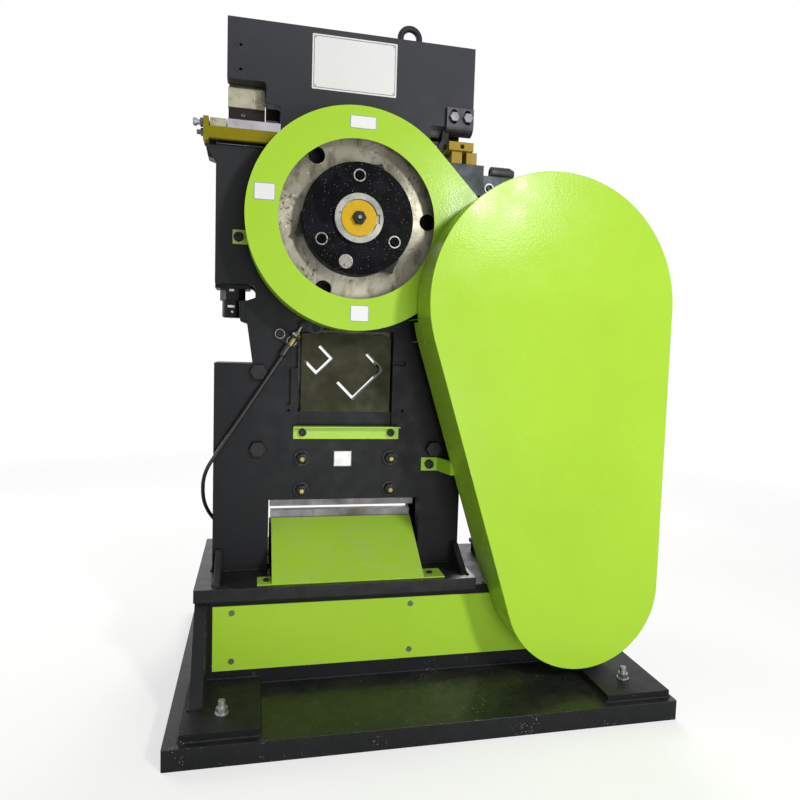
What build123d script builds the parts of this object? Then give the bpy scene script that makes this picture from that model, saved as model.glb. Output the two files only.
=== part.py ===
from build123d import *
import os
from math import acos, atan2, cos, hypot, pi, radians, sin, tan

# Combined punching and shearing machine, in millimetres.
# X runs right along the drive side, Y away from the drive side, Z up.
# The origin is the middle of the pallet's underside.

os.makedirs("parts", exist_ok=True)

# Pallet and base
pallet_length = 1265.0
pallet_depth = 900.0
pallet_height = 50.0
pallet_wall = 8.0
base_height = 236.0
base_depth = 377.0
base_left = -556.0
base_length = 1116.0
base_wall = 12.0
gusset_thickness = 30.0
gusset_reach = 150.0
foot_width = 176.0
foot_thickness = 18.0
foot_inset_left = 35.0
foot_inset_right = 10.0
foot_inset_front = 22.0
anchor_diameter = 16.0

# Machine frame: two plates with a gap for the ram
sole_thickness = 33.0
sole_depth = 452.0
sole_overhang_left = 36.0
sole_overhang_right = 12.5
plate_thickness = 40.0
plate_gap = 90.0
frame_left = -551.0
frame_width = 691.0
frame_height = 1451.0
rib_thickness = 16.0
rib_height = 62.0
rib_reach = 118.0

# Heights above the machine frame's sole
tunnel_height = 193.0
tunnel_left = -404.0
tunnel_width = 424.0
window_floor_rise = 400.0
window_height = 262.0
window_left = -330.0
window_width = 262.0
punch_floor_rise = 565.0
punch_height = 209.0
punch_depth = 99.0
gear_axis_rise = 941.0
shear_floor_rise = 1130.0
shear_height = 167.0
shear_step = 114.0
notch_floor_rise = 1051.0
notch_height = 183.0
arm_reach = 260.0

# Drive train
gear_axis_x = -193.5
gear_module = 6.0
main_teeth = 88
idler_pinion_teeth = 18
idler_teeth = 53
flywheel_pinion_teeth = 29
idler_angle = -5.8
flywheel_angle = -44.3
tooth_backlash = 0.5
gear_width = 88.0
stroke = 26.0
journal_radius = 50.0
lobe_radius = journal_radius + stroke / 2 + 1.0
train_shaft_radius = 30.0
running_clearance = 0.05
gear_bore_length = 58.0
disc_radius = 141.5
disc_thickness = 50.0
flywheel_radius = 270.0
flywheel_width = 100.0
belt_ratio = 4.5
motor_x = 400.0
motor_shaft_height = 112.0
motor_body_radius = 98.0
motor_fin_height = 14.0
motor_plate_thickness = 12.0
motor_plate_lift = 26.0
motor_shaft_radius = 14.0
belt_count = 3
belt_width = 11.0
belt_height = 10.0

# Sheet metal
sheet = 3.0
guard_ring_radius = 282.0
guard_hole_radius = 201.0
guard_tail_radius = 80.0
belt_guard_top_radius = 331.0
belt_guard_bottom_radius = 216.5
belt_guard_bottom_x = 415.5
belt_guard_bottom_z = 311.3
belt_guard_gap = 22.0

# Clearances
slide_clearance = 0.3
seat_clearance = 0.3
yoke_clearance = 3.2

# Derived levels
sole_floor = pallet_height + base_height
frame_floor = sole_floor + sole_thickness
frame_top = frame_floor + frame_height
frame_right = frame_left + frame_width
plate_inner = plate_gap / 2
plate_outer = plate_inner + plate_thickness
base_half = base_depth / 2
base_right = base_left + base_length
base_roof = sole_floor
tunnel_right = tunnel_left + tunnel_width
tunnel_roof = frame_floor + tunnel_height
window_floor = frame_floor + window_floor_rise
window_roof = window_floor + window_height
window_right = window_left + window_width
window_x = window_left + window_width / 2
punch_floor = frame_floor + punch_floor_rise
punch_roof = punch_floor + punch_height
punch_wall = frame_left + punch_depth
shear_floor = frame_floor + shear_floor_rise
shear_roof = shear_floor + shear_height
shear_step_z = shear_floor + shear_step
notch_floor = frame_floor + notch_floor_rise
notch_roof = notch_floor + notch_height
gear_axis_z = frame_floor + gear_axis_rise

# Gear centres
main_pitch = gear_module * main_teeth / 2
idler_distance = gear_module * (main_teeth + idler_pinion_teeth) / 2
flywheel_distance = gear_module * (idler_teeth + flywheel_pinion_teeth) / 2
idler_x = gear_axis_x + idler_distance * cos(radians(idler_angle))
idler_z = gear_axis_z + idler_distance * sin(radians(idler_angle))
flywheel_x = idler_x + flywheel_distance * cos(radians(flywheel_angle))
flywheel_z = idler_z + flywheel_distance * sin(radians(flywheel_angle))
motor_z = base_roof + motor_plate_lift + motor_plate_thickness + motor_shaft_height

# Tooth angles that bring a tooth of one gear into a gap of the next
idler_mesh = idler_angle + 180 + 180 / idler_pinion_teeth
flywheel_mesh = flywheel_angle + 180 + 180 / flywheel_pinion_teeth

# Depths of the drive side, all towards minus Y
lever_thickness = 10.0
lever_gap = 2.0
gear_back = -(plate_outer + 2 * lever_gap + lever_thickness + 1.0)
gear_front = gear_back - gear_width
gear_guard_face = gear_front - 12.0
web_front = gear_back - gear_bore_length
disc_front = web_front - disc_thickness
flywheel_back = gear_guard_face - 12.0
flywheel_front = flywheel_back - flywheel_width
belt_guard_face = flywheel_front - belt_guard_gap


def facing(y):
    """Sketch plane at depth y, x right and z up, whose extrusions grow towards the drive side."""
    return Plane.XZ.offset(-y)


def turning(x, z):
    """Sketch plane through a shaft axis: local x is the radius, local y is the depth."""
    return Plane(origin=(x, 0, z), x_dir=(1, 0, 0), z_dir=(0, 0, 1))


def shaft_axis(x, z):
    """The line along Y through (x, z)."""
    return Axis((x, 0, z), (0, 1, 0))


def gear_points(teeth, centre_x, centre_z, tooth_angle):
    """Outline of a spur gear with involute flanks and one tooth centred on tooth_angle."""
    pitch = gear_module * teeth / 2
    base = pitch * cos(radians(20))
    radii = [pitch - 1.25 * gear_module, pitch, pitch + gear_module]
    start = tan(radians(20)) - radians(20)
    half = []
    for radius in radii:
        pressure = acos(min(1.0, base / radius))
        involute = tan(pressure) - pressure
        half.append(pi / 2 / teeth - tooth_backlash / 2 / pitch + start - involute)
    points = []
    for tooth in range(teeth):
        middle = radians(tooth_angle) + 2 * pi * tooth / teeth
        flank = [(radius, middle - turn) for radius, turn in zip(radii, half)]
        flank += [(radius, middle + turn) for radius, turn in zip(reversed(radii), reversed(half))]
        points += [(centre_x + r * cos(a), centre_z + r * sin(a)) for r, a in flank]
    return points


def hex_bolt(size, shank, washer=0.0):
    """Hexagon bolt seated on the plane y = 0, head towards minus Y, shank towards plus Y."""
    with BuildPart() as bolt:
        if washer:
            with BuildSketch(facing(0)):
                Circle(size * 1.1)
                if shank:
                    Circle(size / 2, mode=Mode.SUBTRACT)
            extrude(amount=washer)
        with BuildSketch(facing(-washer)):
            RegularPolygon(radius=size * 0.87, side_count=6)
        extrude(amount=size * 0.64)
        if shank:
            with BuildSketch(facing(-washer)):
                Circle(size / 2)
            extrude(amount=-(shank + washer))
        chamfer(bolt.faces().sort_by(Axis.Y)[0].edges(), length=size * 0.06)
    return bolt.part


def socket_screw(size, shank):
    """Socket-head screw seated on the plane y = 0, head towards minus Y."""
    with BuildPart() as screw:
        with BuildSketch(facing(0)):
            Circle(size * 0.75)
        extrude(amount=size)
        with BuildSketch(facing(-size)):
            RegularPolygon(radius=size * 0.48, side_count=6)
        extrude(amount=-size * 0.5, mode=Mode.SUBTRACT)
        with BuildSketch(facing(0)):
            Circle(size / 2)
        extrude(amount=-shank)
    return screw.part


def ring(x, z, back, front, outer, inner=0.0):
    """Disc or ring round an axis along Y, from depth back to the nearer depth front."""
    with BuildPart() as piece:
        with BuildSketch(facing(back)):
            with Locations((x, z)):
                Circle(outer)
                if inner:
                    Circle(inner, mode=Mode.SUBTRACT)
        extrude(amount=back - front)
    return piece.part


def block(left, right, back, front, low, high):
    """Rectangular block between two x, two depths and two heights."""
    with BuildPart() as piece:
        with BuildSketch(facing(back)):
            with Locations(((left + right) / 2, (low + high) / 2)):
                Rectangle(right - left, high - low)
        extrude(amount=back - front)
    return piece.part


def gear(teeth, x, z, back, front, tooth_angle, bore=0.0):
    """Spur gear round an axis along Y."""
    with BuildPart() as piece:
        with BuildSketch(facing(back)):
            with BuildLine():
                Polyline(*gear_points(teeth, x, z, tooth_angle), close=True)
            make_face()
            if bore:
                with Locations((x, z)):
                    Circle(bore, mode=Mode.SUBTRACT)
        extrude(amount=back - front)
    return piece.part


def hull(x, z, radius, far_x, far_z, far_radius):
    """Sketch of two circles joined by their outer tangents."""
    along = atan2(far_z - z, far_x - x)
    spread = acos((radius - far_radius) / hypot(far_x - x, far_z - z))
    corners = []
    for centre_x, centre_z, size, turn in (
        (x, z, radius, spread),
        (far_x, far_z, far_radius, spread),
        (far_x, far_z, far_radius, -spread),
        (x, z, radius, -spread),
    ):
        corners.append((centre_x + size * cos(along + turn), centre_z + size * sin(along + turn)))
    with BuildSketch(Plane.XY) as shape:
        with Locations((x, z)):
            Circle(radius)
        with Locations((far_x, far_z)):
            Circle(far_radius)
        with BuildLine():
            Polyline(*corners, close=True)
        make_face()
    return shape.sketch


# Pallet: folded tray with two runners under its sheet
with BuildPart() as pallet:
    with BuildSketch(Plane.XY):
        Rectangle(pallet_length, pallet_depth)
    extrude(amount=pallet_height)
    fillet(pallet.edges().filter_by(Axis.Z), radius=4)
    with BuildSketch(Plane.XY):
        with GridLocations(pallet_length / 3, 0, 3, 1):
            Rectangle(pallet_length / 3 - 1.5 * pallet_wall, pallet_depth - 2 * pallet_wall)
    extrude(amount=pallet_height - pallet_wall, mode=Mode.SUBTRACT)
pallet.part.label = "pallet"
export_step(pallet.part, "parts/pallet.step")

# Base: welded box on four foot plates, with a sloping end gusset
panel_rise = 40.0
panel_height = 171.0
bay_height = panel_height - 32.0
bay_z = pallet_height + panel_rise + panel_height / 2
panel_left = base_left + 13.5
panel_column = 472.0
panel_margin = 48.5
panel_length = 2 * (panel_column + panel_margin)
panel_screw_rise = 25.5
panel_screw_pitch = 128.0
foot_left_x = -pallet_length / 2 + foot_inset_left + foot_width / 2
foot_right_x = pallet_length / 2 - foot_inset_right - foot_width / 2
foot_length = pallet_depth / 2 - foot_inset_front - base_half
foot_y = base_half + foot_length / 2
anchor_y = base_half + foot_length * 0.68
cable_drop_x = base_left + 56.0
pedal_x = cable_drop_x + 60.0
pedal_slot = 36.0
cable_hole_radius = 8.0
pedal_y = -40.0
pedal_z = pallet_height + 140.0
pedal_rod_radius = 10.0
bay_width = panel_column - 60.0
with BuildPart() as base_frame:
    with BuildSketch(Plane.XY.offset(pallet_height)):
        with Locations((base_left + base_length / 2, 0)):
            Rectangle(base_length, base_depth)
    extrude(amount=base_height)
    with BuildSketch(Plane.XY.offset(pallet_height)):
        with Locations((base_left + base_length / 2, 0)):
            Rectangle(base_length - 2 * base_wall, base_depth - 2 * base_wall)
    extrude(amount=base_height - base_wall, mode=Mode.SUBTRACT)
    with BuildSketch(facing(base_half)):
        for bay in (0.5, 1.5):
            with Locations((panel_left + panel_margin + bay * panel_column, bay_z)):
                Rectangle(bay_width, bay_height)
    extrude(amount=base_depth, mode=Mode.SUBTRACT)
    with BuildSketch(Plane.XY.offset(pallet_height)):
        for x in (foot_left_x, foot_right_x):
            with Locations((x, foot_y), (x, -foot_y)):
                Rectangle(foot_width, foot_length)
    extrude(amount=foot_thickness)
    with BuildSketch(Plane.YZ.offset(base_left - gusset_thickness)):
        with BuildLine():
            Polyline(
                (-base_half - gusset_reach, pallet_height),
                (base_half + gusset_reach, pallet_height),
                (base_half, base_roof),
                (-base_half, base_roof),
                close=True,
            )
        make_face()
    extrude(amount=gusset_thickness)
    with BuildSketch(Plane.XY.offset(pallet_height)):
        for x in (foot_left_x, foot_right_x):
            with Locations((x, anchor_y), (x, -anchor_y)):
                Circle(anchor_diameter / 2 + 1)
    extrude(amount=foot_thickness, mode=Mode.SUBTRACT)
    with BuildSketch(Plane.XY.offset(base_roof)):
        with Locations((cable_drop_x, 0)):
            Circle(cable_hole_radius)
    extrude(amount=-base_wall, mode=Mode.SUBTRACT)
    for x in (cable_drop_x - 36, cable_drop_x + 84):
        with BuildSketch(Plane.YZ.offset(x)):
            with Locations((pedal_y, (pedal_z - 20 + base_roof - base_wall) / 2)):
                Rectangle(40, base_roof - base_wall - pedal_z + 20)
            with Locations((pedal_y, pedal_z)):
                Circle(pedal_rod_radius + running_clearance, mode=Mode.SUBTRACT)
        extrude(amount=10)
base_frame.part.label = "base_frame"
export_step(base_frame.part, "parts/base_frame.step")

# Anchor studs with nuts and washers through the foot plates
anchor_top = foot_thickness + 32.0
with BuildPart() as anchor_bolts:
    for x in (foot_left_x, foot_right_x):
        for y in (-anchor_y, anchor_y):
            with BuildSketch(Plane.XY.offset(pallet_height)):
                with Locations((x, y)):
                    Circle(anchor_diameter / 2)
            extrude(amount=anchor_top)
            with BuildSketch(Plane.XY.offset(pallet_height + foot_thickness)):
                with Locations((x, y)):
                    Circle(anchor_diameter)
            extrude(amount=3)
            with BuildSketch(Plane.XY.offset(pallet_height + foot_thickness + 3)):
                with Locations((x, y)):
                    RegularPolygon(radius=anchor_diameter * 0.87, side_count=6)
            extrude(amount=anchor_diameter * 0.8)
anchor_bolts.part.label = "anchor_bolts"
export_step(anchor_bolts.part, "parts/anchor_bolts.step")

# Cover panels over both long sides of the base
panel_x = panel_left + panel_length / 2
panel_z = bay_z
screw_z = pallet_height + panel_rise + panel_screw_rise
screw_diameter = 8.0
pedal_slot_height = 100.0
panel_spots = []
for column in range(3):
    for row in range(2):
        column_x = panel_left + panel_margin + column * panel_column
        panel_spots.append((column_x, screw_z + row * panel_screw_pitch))
with BuildPart() as front_panel:
    with BuildSketch(facing(-base_half)):
        with Locations((panel_x, panel_z)):
            Rectangle(panel_length, panel_height)
        with Locations(*panel_spots):
            Circle(screw_diameter / 2 + 0.5, mode=Mode.SUBTRACT)
    extrude(amount=sheet)
front_panel.part.label = "front_panel"
export_step(front_panel.part, "parts/front_panel.step")

with BuildPart() as rear_panel:
    with BuildSketch(facing(base_half + sheet)):
        with Locations((panel_x, panel_z)):
            Rectangle(panel_length, panel_height)
        with Locations(*panel_spots):
            Circle(screw_diameter / 2 + 0.5, mode=Mode.SUBTRACT)
        with Locations((pedal_x, pedal_z - pedal_slot_height / 2 + 20)):
            Rectangle(pedal_slot, pedal_slot_height, mode=Mode.SUBTRACT)
    extrude(amount=sheet)
rear_panel.part.label = "rear_panel"
export_step(rear_panel.part, "parts/rear_panel.step")

with BuildPart() as panel_screws:
    for x, z in panel_spots:
        with BuildSketch(facing(-base_half)):
            with Locations((x, z)):
                Circle(screw_diameter / 2)
        extrude(amount=sheet)
        with BuildSketch(facing(-base_half - sheet)):
            with Locations((x, z)):
                Circle(screw_diameter * 0.85)
        extrude(amount=screw_diameter * 0.55)
        with BuildSketch(facing(base_half + sheet)):
            with Locations((x, z)):
                Circle(screw_diameter / 2)
        extrude(amount=sheet)
        with BuildSketch(facing(base_half + sheet + screw_diameter * 0.55)):
            with Locations((x, z)):
                Circle(screw_diameter * 0.85)
        extrude(amount=screw_diameter * 0.55)
panel_screws.part.label = "panel_screws"
export_step(panel_screws.part, "parts/panel_screws.step")

# Sole of the machine frame, with a triangular rib at each corner
sole_left = frame_left - sole_overhang_left
sole_right = frame_right + sole_overhang_right
rib_left = frame_left + 10.0
rib_right = frame_right - rib_thickness - 4.0
with BuildPart() as frame_sole:
    with BuildSketch(Plane.XY.offset(sole_floor)):
        with Locations(((sole_left + sole_right) / 2, 0)):
            Rectangle(sole_right - sole_left, sole_depth)
        with Locations((cable_drop_x, 0)):
            Circle(cable_hole_radius, mode=Mode.SUBTRACT)
    extrude(amount=sole_thickness)
    for x in (rib_left, rib_right):
        for side in (-1, 1):
            with BuildSketch(Plane.YZ.offset(x)):
                with BuildLine():
                    Polyline(
                        (side * plate_outer, frame_floor),
                        (side * (plate_outer + rib_reach), frame_floor),
                        (side * (plate_outer + 14), frame_floor + rib_height),
                        (side * plate_outer, frame_floor + rib_height),
                        close=True,
                    )
                make_face()
            extrude(amount=rib_thickness)
frame_sole.part.label = "frame_sole"
export_step(frame_sole.part, "parts/frame_sole.step")

# Outline shared by both frame plates
top_left = frame_left + 25.5
notch_left = frame_right - 121.0
step_left = frame_left + 162.0
upper_step_left = frame_left + 125.0
arm_right = frame_right + arm_reach
arm_corner = 130.0
bearing_radius = train_shaft_radius + 20.0
bush_radius = journal_radius + 12.0
tie_diameter = 27.0
tie_left_x = frame_left + 115.7
tie_right_x = frame_right - 83.5
tie_upper_z = window_floor + 143.0
tie_lower_z = window_floor - 66.0
tie_spots = [
    (tie_left_x, tie_upper_z),
    (tie_left_x, tie_lower_z),
    (tie_right_x, tie_upper_z),
    (tie_right_x, tie_lower_z),
]
train_spots = [(idler_x, idler_z), (flywheel_x, flywheel_z)]


def plate_outline():
    """Side plate with its throat, shear notch, notching recess, drive arm and tunnel."""
    with BuildSketch(Plane.XY) as outline:
        with BuildLine():
            Polyline(
                (frame_left, frame_floor),
                (tunnel_left, frame_floor),
                (tunnel_left, tunnel_roof),
                (tunnel_right, tunnel_roof),
                (tunnel_right, frame_floor),
                (frame_right, frame_floor),
                (frame_right, frame_floor + 285),
                (arm_right, flywheel_z - 180),
                (arm_right, flywheel_z + 190),
                (arm_right - arm_corner, notch_floor),
                (notch_left, notch_floor),
                (notch_left, notch_roof),
                (frame_right, notch_roof),
                (frame_right, frame_top),
                (top_left, frame_top),
                (top_left, shear_roof),
                (upper_step_left, shear_roof),
                (upper_step_left, shear_step_z),
                (step_left, shear_step_z),
                (step_left, shear_floor),
                (frame_left, shear_floor),
                (frame_left, punch_roof),
                (punch_wall + 5, punch_roof),
                (punch_wall + 5, punch_roof - 34),
                (punch_wall - 20, punch_roof - 44),
                (punch_wall - 20, punch_floor + 136),
                (punch_wall, punch_floor),
                (frame_left, punch_floor),
                close=True,
            )
        make_face()
        inner = [(upper_step_left, shear_roof), (step_left, shear_step_z), (notch_left, notch_roof)]
        for x, z in inner:
            corner = outline.vertices().sort_by_distance((x, z, 0))[0]
            fillet(corner, radius=9)
        throat = outline.vertices().sort_by_distance((punch_wall + 5, punch_roof, 0))[0]
        fillet(throat, radius=14)
        with Locations((gear_axis_x, gear_axis_z)):
            Circle(bush_radius, mode=Mode.SUBTRACT)
        with Locations(*train_spots):
            Circle(bearing_radius, mode=Mode.SUBTRACT)
        with Locations(*tie_spots):
            Circle(tie_diameter / 2 + 0.5, mode=Mode.SUBTRACT)
    return outline.sketch


outline = plate_outline()
pocket_depth = 12.0
small_hole = 8.0
window_slot_x = window_left - 28.0
window_slot_width = 16.0
seat_bolt_pitch_x = 247.0
seat_bolt_pitch_z = 88.0
seat_bolt_diameter = 16.0
seat_bolt_reach = 26.0
seat_x = window_x + 6.0
seat_z = window_floor - 135.0
seat_spots = []
for x in (-0.5, 0.5):
    for z in (-0.5, 0.5):
        seat_spots.append((seat_x + x * seat_bolt_pitch_x, seat_z + z * seat_bolt_pitch_z))

with BuildPart() as drive_side_plate:
    with BuildSketch(facing(-plate_inner)):
        add(outline)
        with Locations((window_x, (window_floor + window_roof) / 2)):
            Rectangle(window_width, window_height, mode=Mode.SUBTRACT)
    extrude(amount=plate_thickness)
    with BuildSketch(facing(-plate_outer)):
        with Locations((window_slot_x, window_floor + 126)):
            SlotOverall(144, window_slot_width, rotation=90)
        with Locations((window_slot_x + 9, window_floor + 186)):
            Rectangle(window_slot_width + 18, 62)
        with Locations((window_right + 19, window_floor + 175)):
            SlotOverall(38, 13)
    extrude(amount=-pocket_depth, mode=Mode.SUBTRACT)
    with BuildSketch(facing(-plate_outer)):
        with Locations((window_left - 25, window_floor + 40), (window_right + 30, window_floor + 41)):
            Circle(small_hole / 2)
        with Locations((top_left + 34, frame_top - 68), (top_left + 34, frame_top - 129)):
            Circle(small_hole / 2)
    extrude(amount=-pocket_depth, mode=Mode.SUBTRACT)
    with BuildSketch(facing(-plate_outer)):
        with Locations(*seat_spots):
            Circle(seat_bolt_diameter / 2)
    extrude(amount=-seat_bolt_reach, mode=Mode.SUBTRACT)
drive_side_plate.part.label = "drive_side_plate"
export_step(drive_side_plate.part, "parts/drive_side_plate.step")

# The plate on the operator's side has a smaller feed window for bars
feed_width = 205.0
feed_height = 175.0
feed_x = window_x + 3.0
feed_z = window_floor + 143.5
with BuildPart() as operator_side_plate:
    with BuildSketch(facing(plate_outer)):
        add(outline)
        with Locations((feed_x, feed_z)):
            RectangleRounded(feed_width, feed_height, 8, mode=Mode.SUBTRACT)
    extrude(amount=plate_thickness)
operator_side_plate.part.label = "operator_side_plate"
export_step(operator_side_plate.part, "parts/operator_side_plate.step")

# Ram between the plates: column, arms, yoke window and foot
ram_half = plate_inner - 5.0
column_half = 126.5
column_left = gear_axis_x - column_half
column_right = gear_axis_x + column_half
body_left = window_left - 20.0
body_right = window_right + 31.0
foot_left = tunnel_left + 4.0
foot_right = tunnel_right - 8.0
foot_floor = tunnel_roof - 12.0
foot_roof = foot_floor + 120.0
body_roof = window_roof + 19.0
left_arm_floor = shear_roof - 4.0
left_arm_roof = left_arm_floor + 68.0
left_arm_end = top_left + 3.5
right_arm_floor = notch_roof + 7.0
right_arm_roof = right_arm_floor + 80.0
right_arm_end = frame_right - 10.0
punch_arm_floor = punch_roof + 7.0
punch_arm_roof = punch_arm_floor + 80.0
punch_arm_end = frame_left + 5.0
lobe_throw = stroke / 2
lobe_z = gear_axis_z + lobe_throw
block_width = 150.0
block_height = 150.0
lobe_half = ram_half - 1.0
yoke_width = block_width + stroke + 2.0
yoke_height = block_height + 2 * yoke_clearance
relief_inset = 25.0
blade_height = 46.0
blade_thickness = 24.0
relief_left = window_left + relief_inset
relief_right = window_right - relief_inset + 8.0
relief_floor = window_floor + 51.0
relief_roof = window_roof - 36.0
with BuildPart() as ram:
    with BuildSketch(facing(ram_half)):
        with BuildLine():
            Polyline(
                (foot_left, foot_floor),
                (foot_right, foot_floor),
                (foot_right, foot_roof),
                (body_right, foot_roof),
                (body_right, body_roof),
                (column_right, body_roof),
                (column_right, right_arm_floor),
                (right_arm_end, right_arm_floor),
                (right_arm_end, right_arm_roof),
                (column_right, right_arm_roof),
                (column_right, left_arm_roof),
                (left_arm_end, left_arm_roof),
                (left_arm_end, left_arm_floor),
                (column_left, left_arm_floor),
                (column_left, punch_arm_roof),
                (punch_arm_end, punch_arm_roof),
                (punch_arm_end, punch_arm_floor),
                (column_left, punch_arm_floor),
                (column_left, body_roof),
                (body_left, body_roof),
                (body_left, foot_roof),
                (foot_left, foot_roof),
                close=True,
            )
        make_face()
        with Locations((gear_axis_x, lobe_z)):
            Rectangle(yoke_width, yoke_height, mode=Mode.SUBTRACT)
        with Locations(((relief_left + relief_right) / 2, (relief_floor + relief_roof) / 2)):
            Rectangle(relief_right - relief_left, relief_roof - relief_floor, mode=Mode.SUBTRACT)
    extrude(amount=2 * ram_half)
    with BuildSketch(facing(-ram_half + blade_thickness)):
        with Locations(((foot_left + foot_right) / 2, foot_floor + 15)):
            Rectangle(foot_right - foot_left, 30)
    extrude(amount=blade_thickness, mode=Mode.SUBTRACT)
ram.part.label = "ram"
export_step(ram.part, "parts/ram.step")

# Spacer blocks between the plates, shaped round the ram's guideways
liner = 5.0
guide_gap = liner + slide_clearance
eye_x = frame_right - 169.0
eye_shank = 20.0
seat_front = -15.0
blade_seat_z = frame_floor + 111.0
arm_block_z = (flywheel_z + 155, flywheel_z - 145)
with BuildPart() as frame_spacers:
    with BuildSketch(facing(plate_inner)):
        with Locations(((top_left + frame_right) / 2, frame_top - 35)):
            Rectangle(frame_right - top_left, 70)
        with BuildLine():
            Polyline(
                (frame_left, tunnel_roof + 8),
                (tunnel_left - 6, tunnel_roof + 8),
                (tunnel_left - 6, foot_roof + 20),
                (body_left - guide_gap, foot_roof + 20),
                (body_left - guide_gap, punch_floor),
                (frame_left, punch_floor),
                close=True,
            )
        make_face()
        with BuildLine():
            Polyline(
                (tunnel_right + 5, tunnel_roof + 8),
                (frame_right, tunnel_roof + 8),
                (frame_right, body_roof + 40),
                (body_right + guide_gap, body_roof + 40),
                (body_right + guide_gap, foot_roof + 20),
                (tunnel_right + 5, foot_roof + 20),
                close=True,
            )
        make_face()
        with BuildLine():
            Polyline(
                (frame_left, punch_arm_roof + 20),
                (column_left - guide_gap, punch_arm_roof + 20),
                (column_left - guide_gap, shear_floor),
                (frame_left, shear_floor),
                close=True,
            )
        make_face()
        with BuildLine():
            Polyline(
                (column_right + guide_gap, idler_z + 177),
                (notch_left - 4, idler_z + 177),
                (notch_left - 4, right_arm_floor - stroke - 9),
                (column_right + guide_gap, right_arm_floor - stroke - 9),
                close=True,
            )
        make_face()
        for z in arm_block_z:
            with Locations((arm_right - 48, z)):
                Rectangle(86, 56)
        with Locations(*tie_spots):
            Circle(tie_diameter / 2 + 0.5, mode=Mode.SUBTRACT)
    extrude(amount=plate_gap)
    add(block(tunnel_left + 4, foot_right, plate_inner, seat_front, frame_floor, blade_seat_z))
    with BuildSketch(facing(-plate_outer + rib_thickness)):
        with BuildLine():
            Polyline(
                (frame_left, shear_floor - 4),
                (frame_left - 28, shear_floor - 4),
                (frame_left, shear_floor - 49),
                close=True,
            )
        make_face()
    extrude(amount=rib_thickness)
    with BuildSketch(Plane.XY.offset(frame_top)):
        with Locations((eye_x, 0)):
            Circle(eye_shank / 2 + 0.2)
    extrude(amount=-42, mode=Mode.SUBTRACT)
frame_spacers.part.label = "frame_spacers"
export_step(frame_spacers.part, "parts/frame_spacers.step")

# Bronze guide strips beside the ram
liner_reach = 2 * ram_half - 8
with BuildPart() as guide_strips:
    with BuildSketch(facing(liner_reach / 2)):
        for x, low, high in (
            (body_left - slide_clearance - liner / 2, foot_roof + 24, punch_floor - 4),
            (body_right + slide_clearance + liner / 2, foot_roof + 24, body_roof - 4),
            (column_left - slide_clearance - liner / 2, punch_arm_roof + 24, shear_floor - 4),
            (column_right + slide_clearance + liner / 2, idler_z + 181, right_arm_floor - stroke - 13),
        ):
            with Locations((x, (low + high) / 2)):
                Rectangle(liner, high - low)
    extrude(amount=liner_reach)
guide_strips.part.label = "guide_strips"
export_step(guide_strips.part, "parts/guide_strips.step")

# Tie bolts through both plates, and bolts with washers that hold the guideways
tie_grip = 2 * plate_outer
tie_bolt = hex_bolt(tie_diameter, tie_grip + 34)
with BuildPart() as tie_bolts:
    for x, z in tie_spots:
        with Locations((x, -plate_outer, z)):
            add(tie_bolt)
        with BuildSketch(facing(plate_outer)):
            with Locations((x, z)):
                RegularPolygon(radius=tie_diameter * 0.87, side_count=6)
                Circle(tie_diameter / 2, mode=Mode.SUBTRACT)
        extrude(amount=-tie_diameter * 0.8)
tie_bolts.part.label = "tie_bolts"
export_step(tie_bolts.part, "parts/tie_bolts.step")

seat_bolt = hex_bolt(seat_bolt_diameter, seat_bolt_reach - 2, washer=3.0)
with BuildPart() as seat_bolts:
    for x, z in seat_spots:
        with Locations((x, -plate_outer, z)):
            add(seat_bolt)
seat_bolts.part.label = "seat_bolts"
export_step(seat_bolts.part, "parts/seat_bolts.step")

# Lifting eye in the top spacer
eye_ring = 27.0
eye_wire = 9.0
eye_collar = 10.0
eye_z = frame_top + eye_collar + eye_ring + eye_wire - 3
with BuildPart() as lifting_eye:
    with BuildSketch(Plane.XY.offset(frame_top)):
        with Locations((eye_x, 0)):
            Circle(eye_ring - 4)
    extrude(amount=eye_collar)
    with BuildSketch(Plane.XY.offset(frame_top)):
        with Locations((eye_x, 0)):
            Circle(eye_shank / 2)
    extrude(amount=-38)
    with BuildSketch(turning(eye_x, eye_z)):
        with Locations((eye_ring, 0)):
            Circle(eye_wire)
    revolve(axis=shaft_axis(eye_x, eye_z))
lifting_eye.part.label = "lifting_eye"
export_step(lifting_eye.part, "parts/lifting_eye.step")

# Bearings of the eccentric shaft and of the two gear shafts
with BuildPart() as shaft_bushes:
    for x, z, bore, outer in (
        (gear_axis_x, gear_axis_z, journal_radius, bush_radius),
        (idler_x, idler_z, train_shaft_radius, bearing_radius),
        (flywheel_x, flywheel_z, train_shaft_radius, bearing_radius),
    ):
        for y in (-plate_inner, plate_outer):
            with BuildSketch(facing(y)):
                with Locations((x, z)):
                    Circle(outer)
                    Circle(bore + running_clearance, mode=Mode.SUBTRACT)
            extrude(amount=plate_thickness)
shaft_bushes.part.label = "shaft_bushes"
export_step(shaft_bushes.part, "parts/shaft_bushes.step")

# Section shears: fixed blade on its filler strip, moving blade on the ram, both slotted for channel bars
blade_face = -(plate_outer - 8.5)
fixed_blade_thickness = 18.0
section_clearance = 0.3
moving_blade_front = blade_face + fixed_blade_thickness + section_clearance
filler_height = 37.0
blade_left = window_left + 8.0
blade_right = window_right - 6.0
blade_floor = window_floor + filler_height
blade_roof = window_roof - 11.0
channel_gap = 9.0
small_channel = (window_left + 70.2, window_floor + 163.7, 57.0, 43.0)
large_channel = (window_left + 192.1, window_floor + 115.8, 113.0, 57.0)


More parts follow.
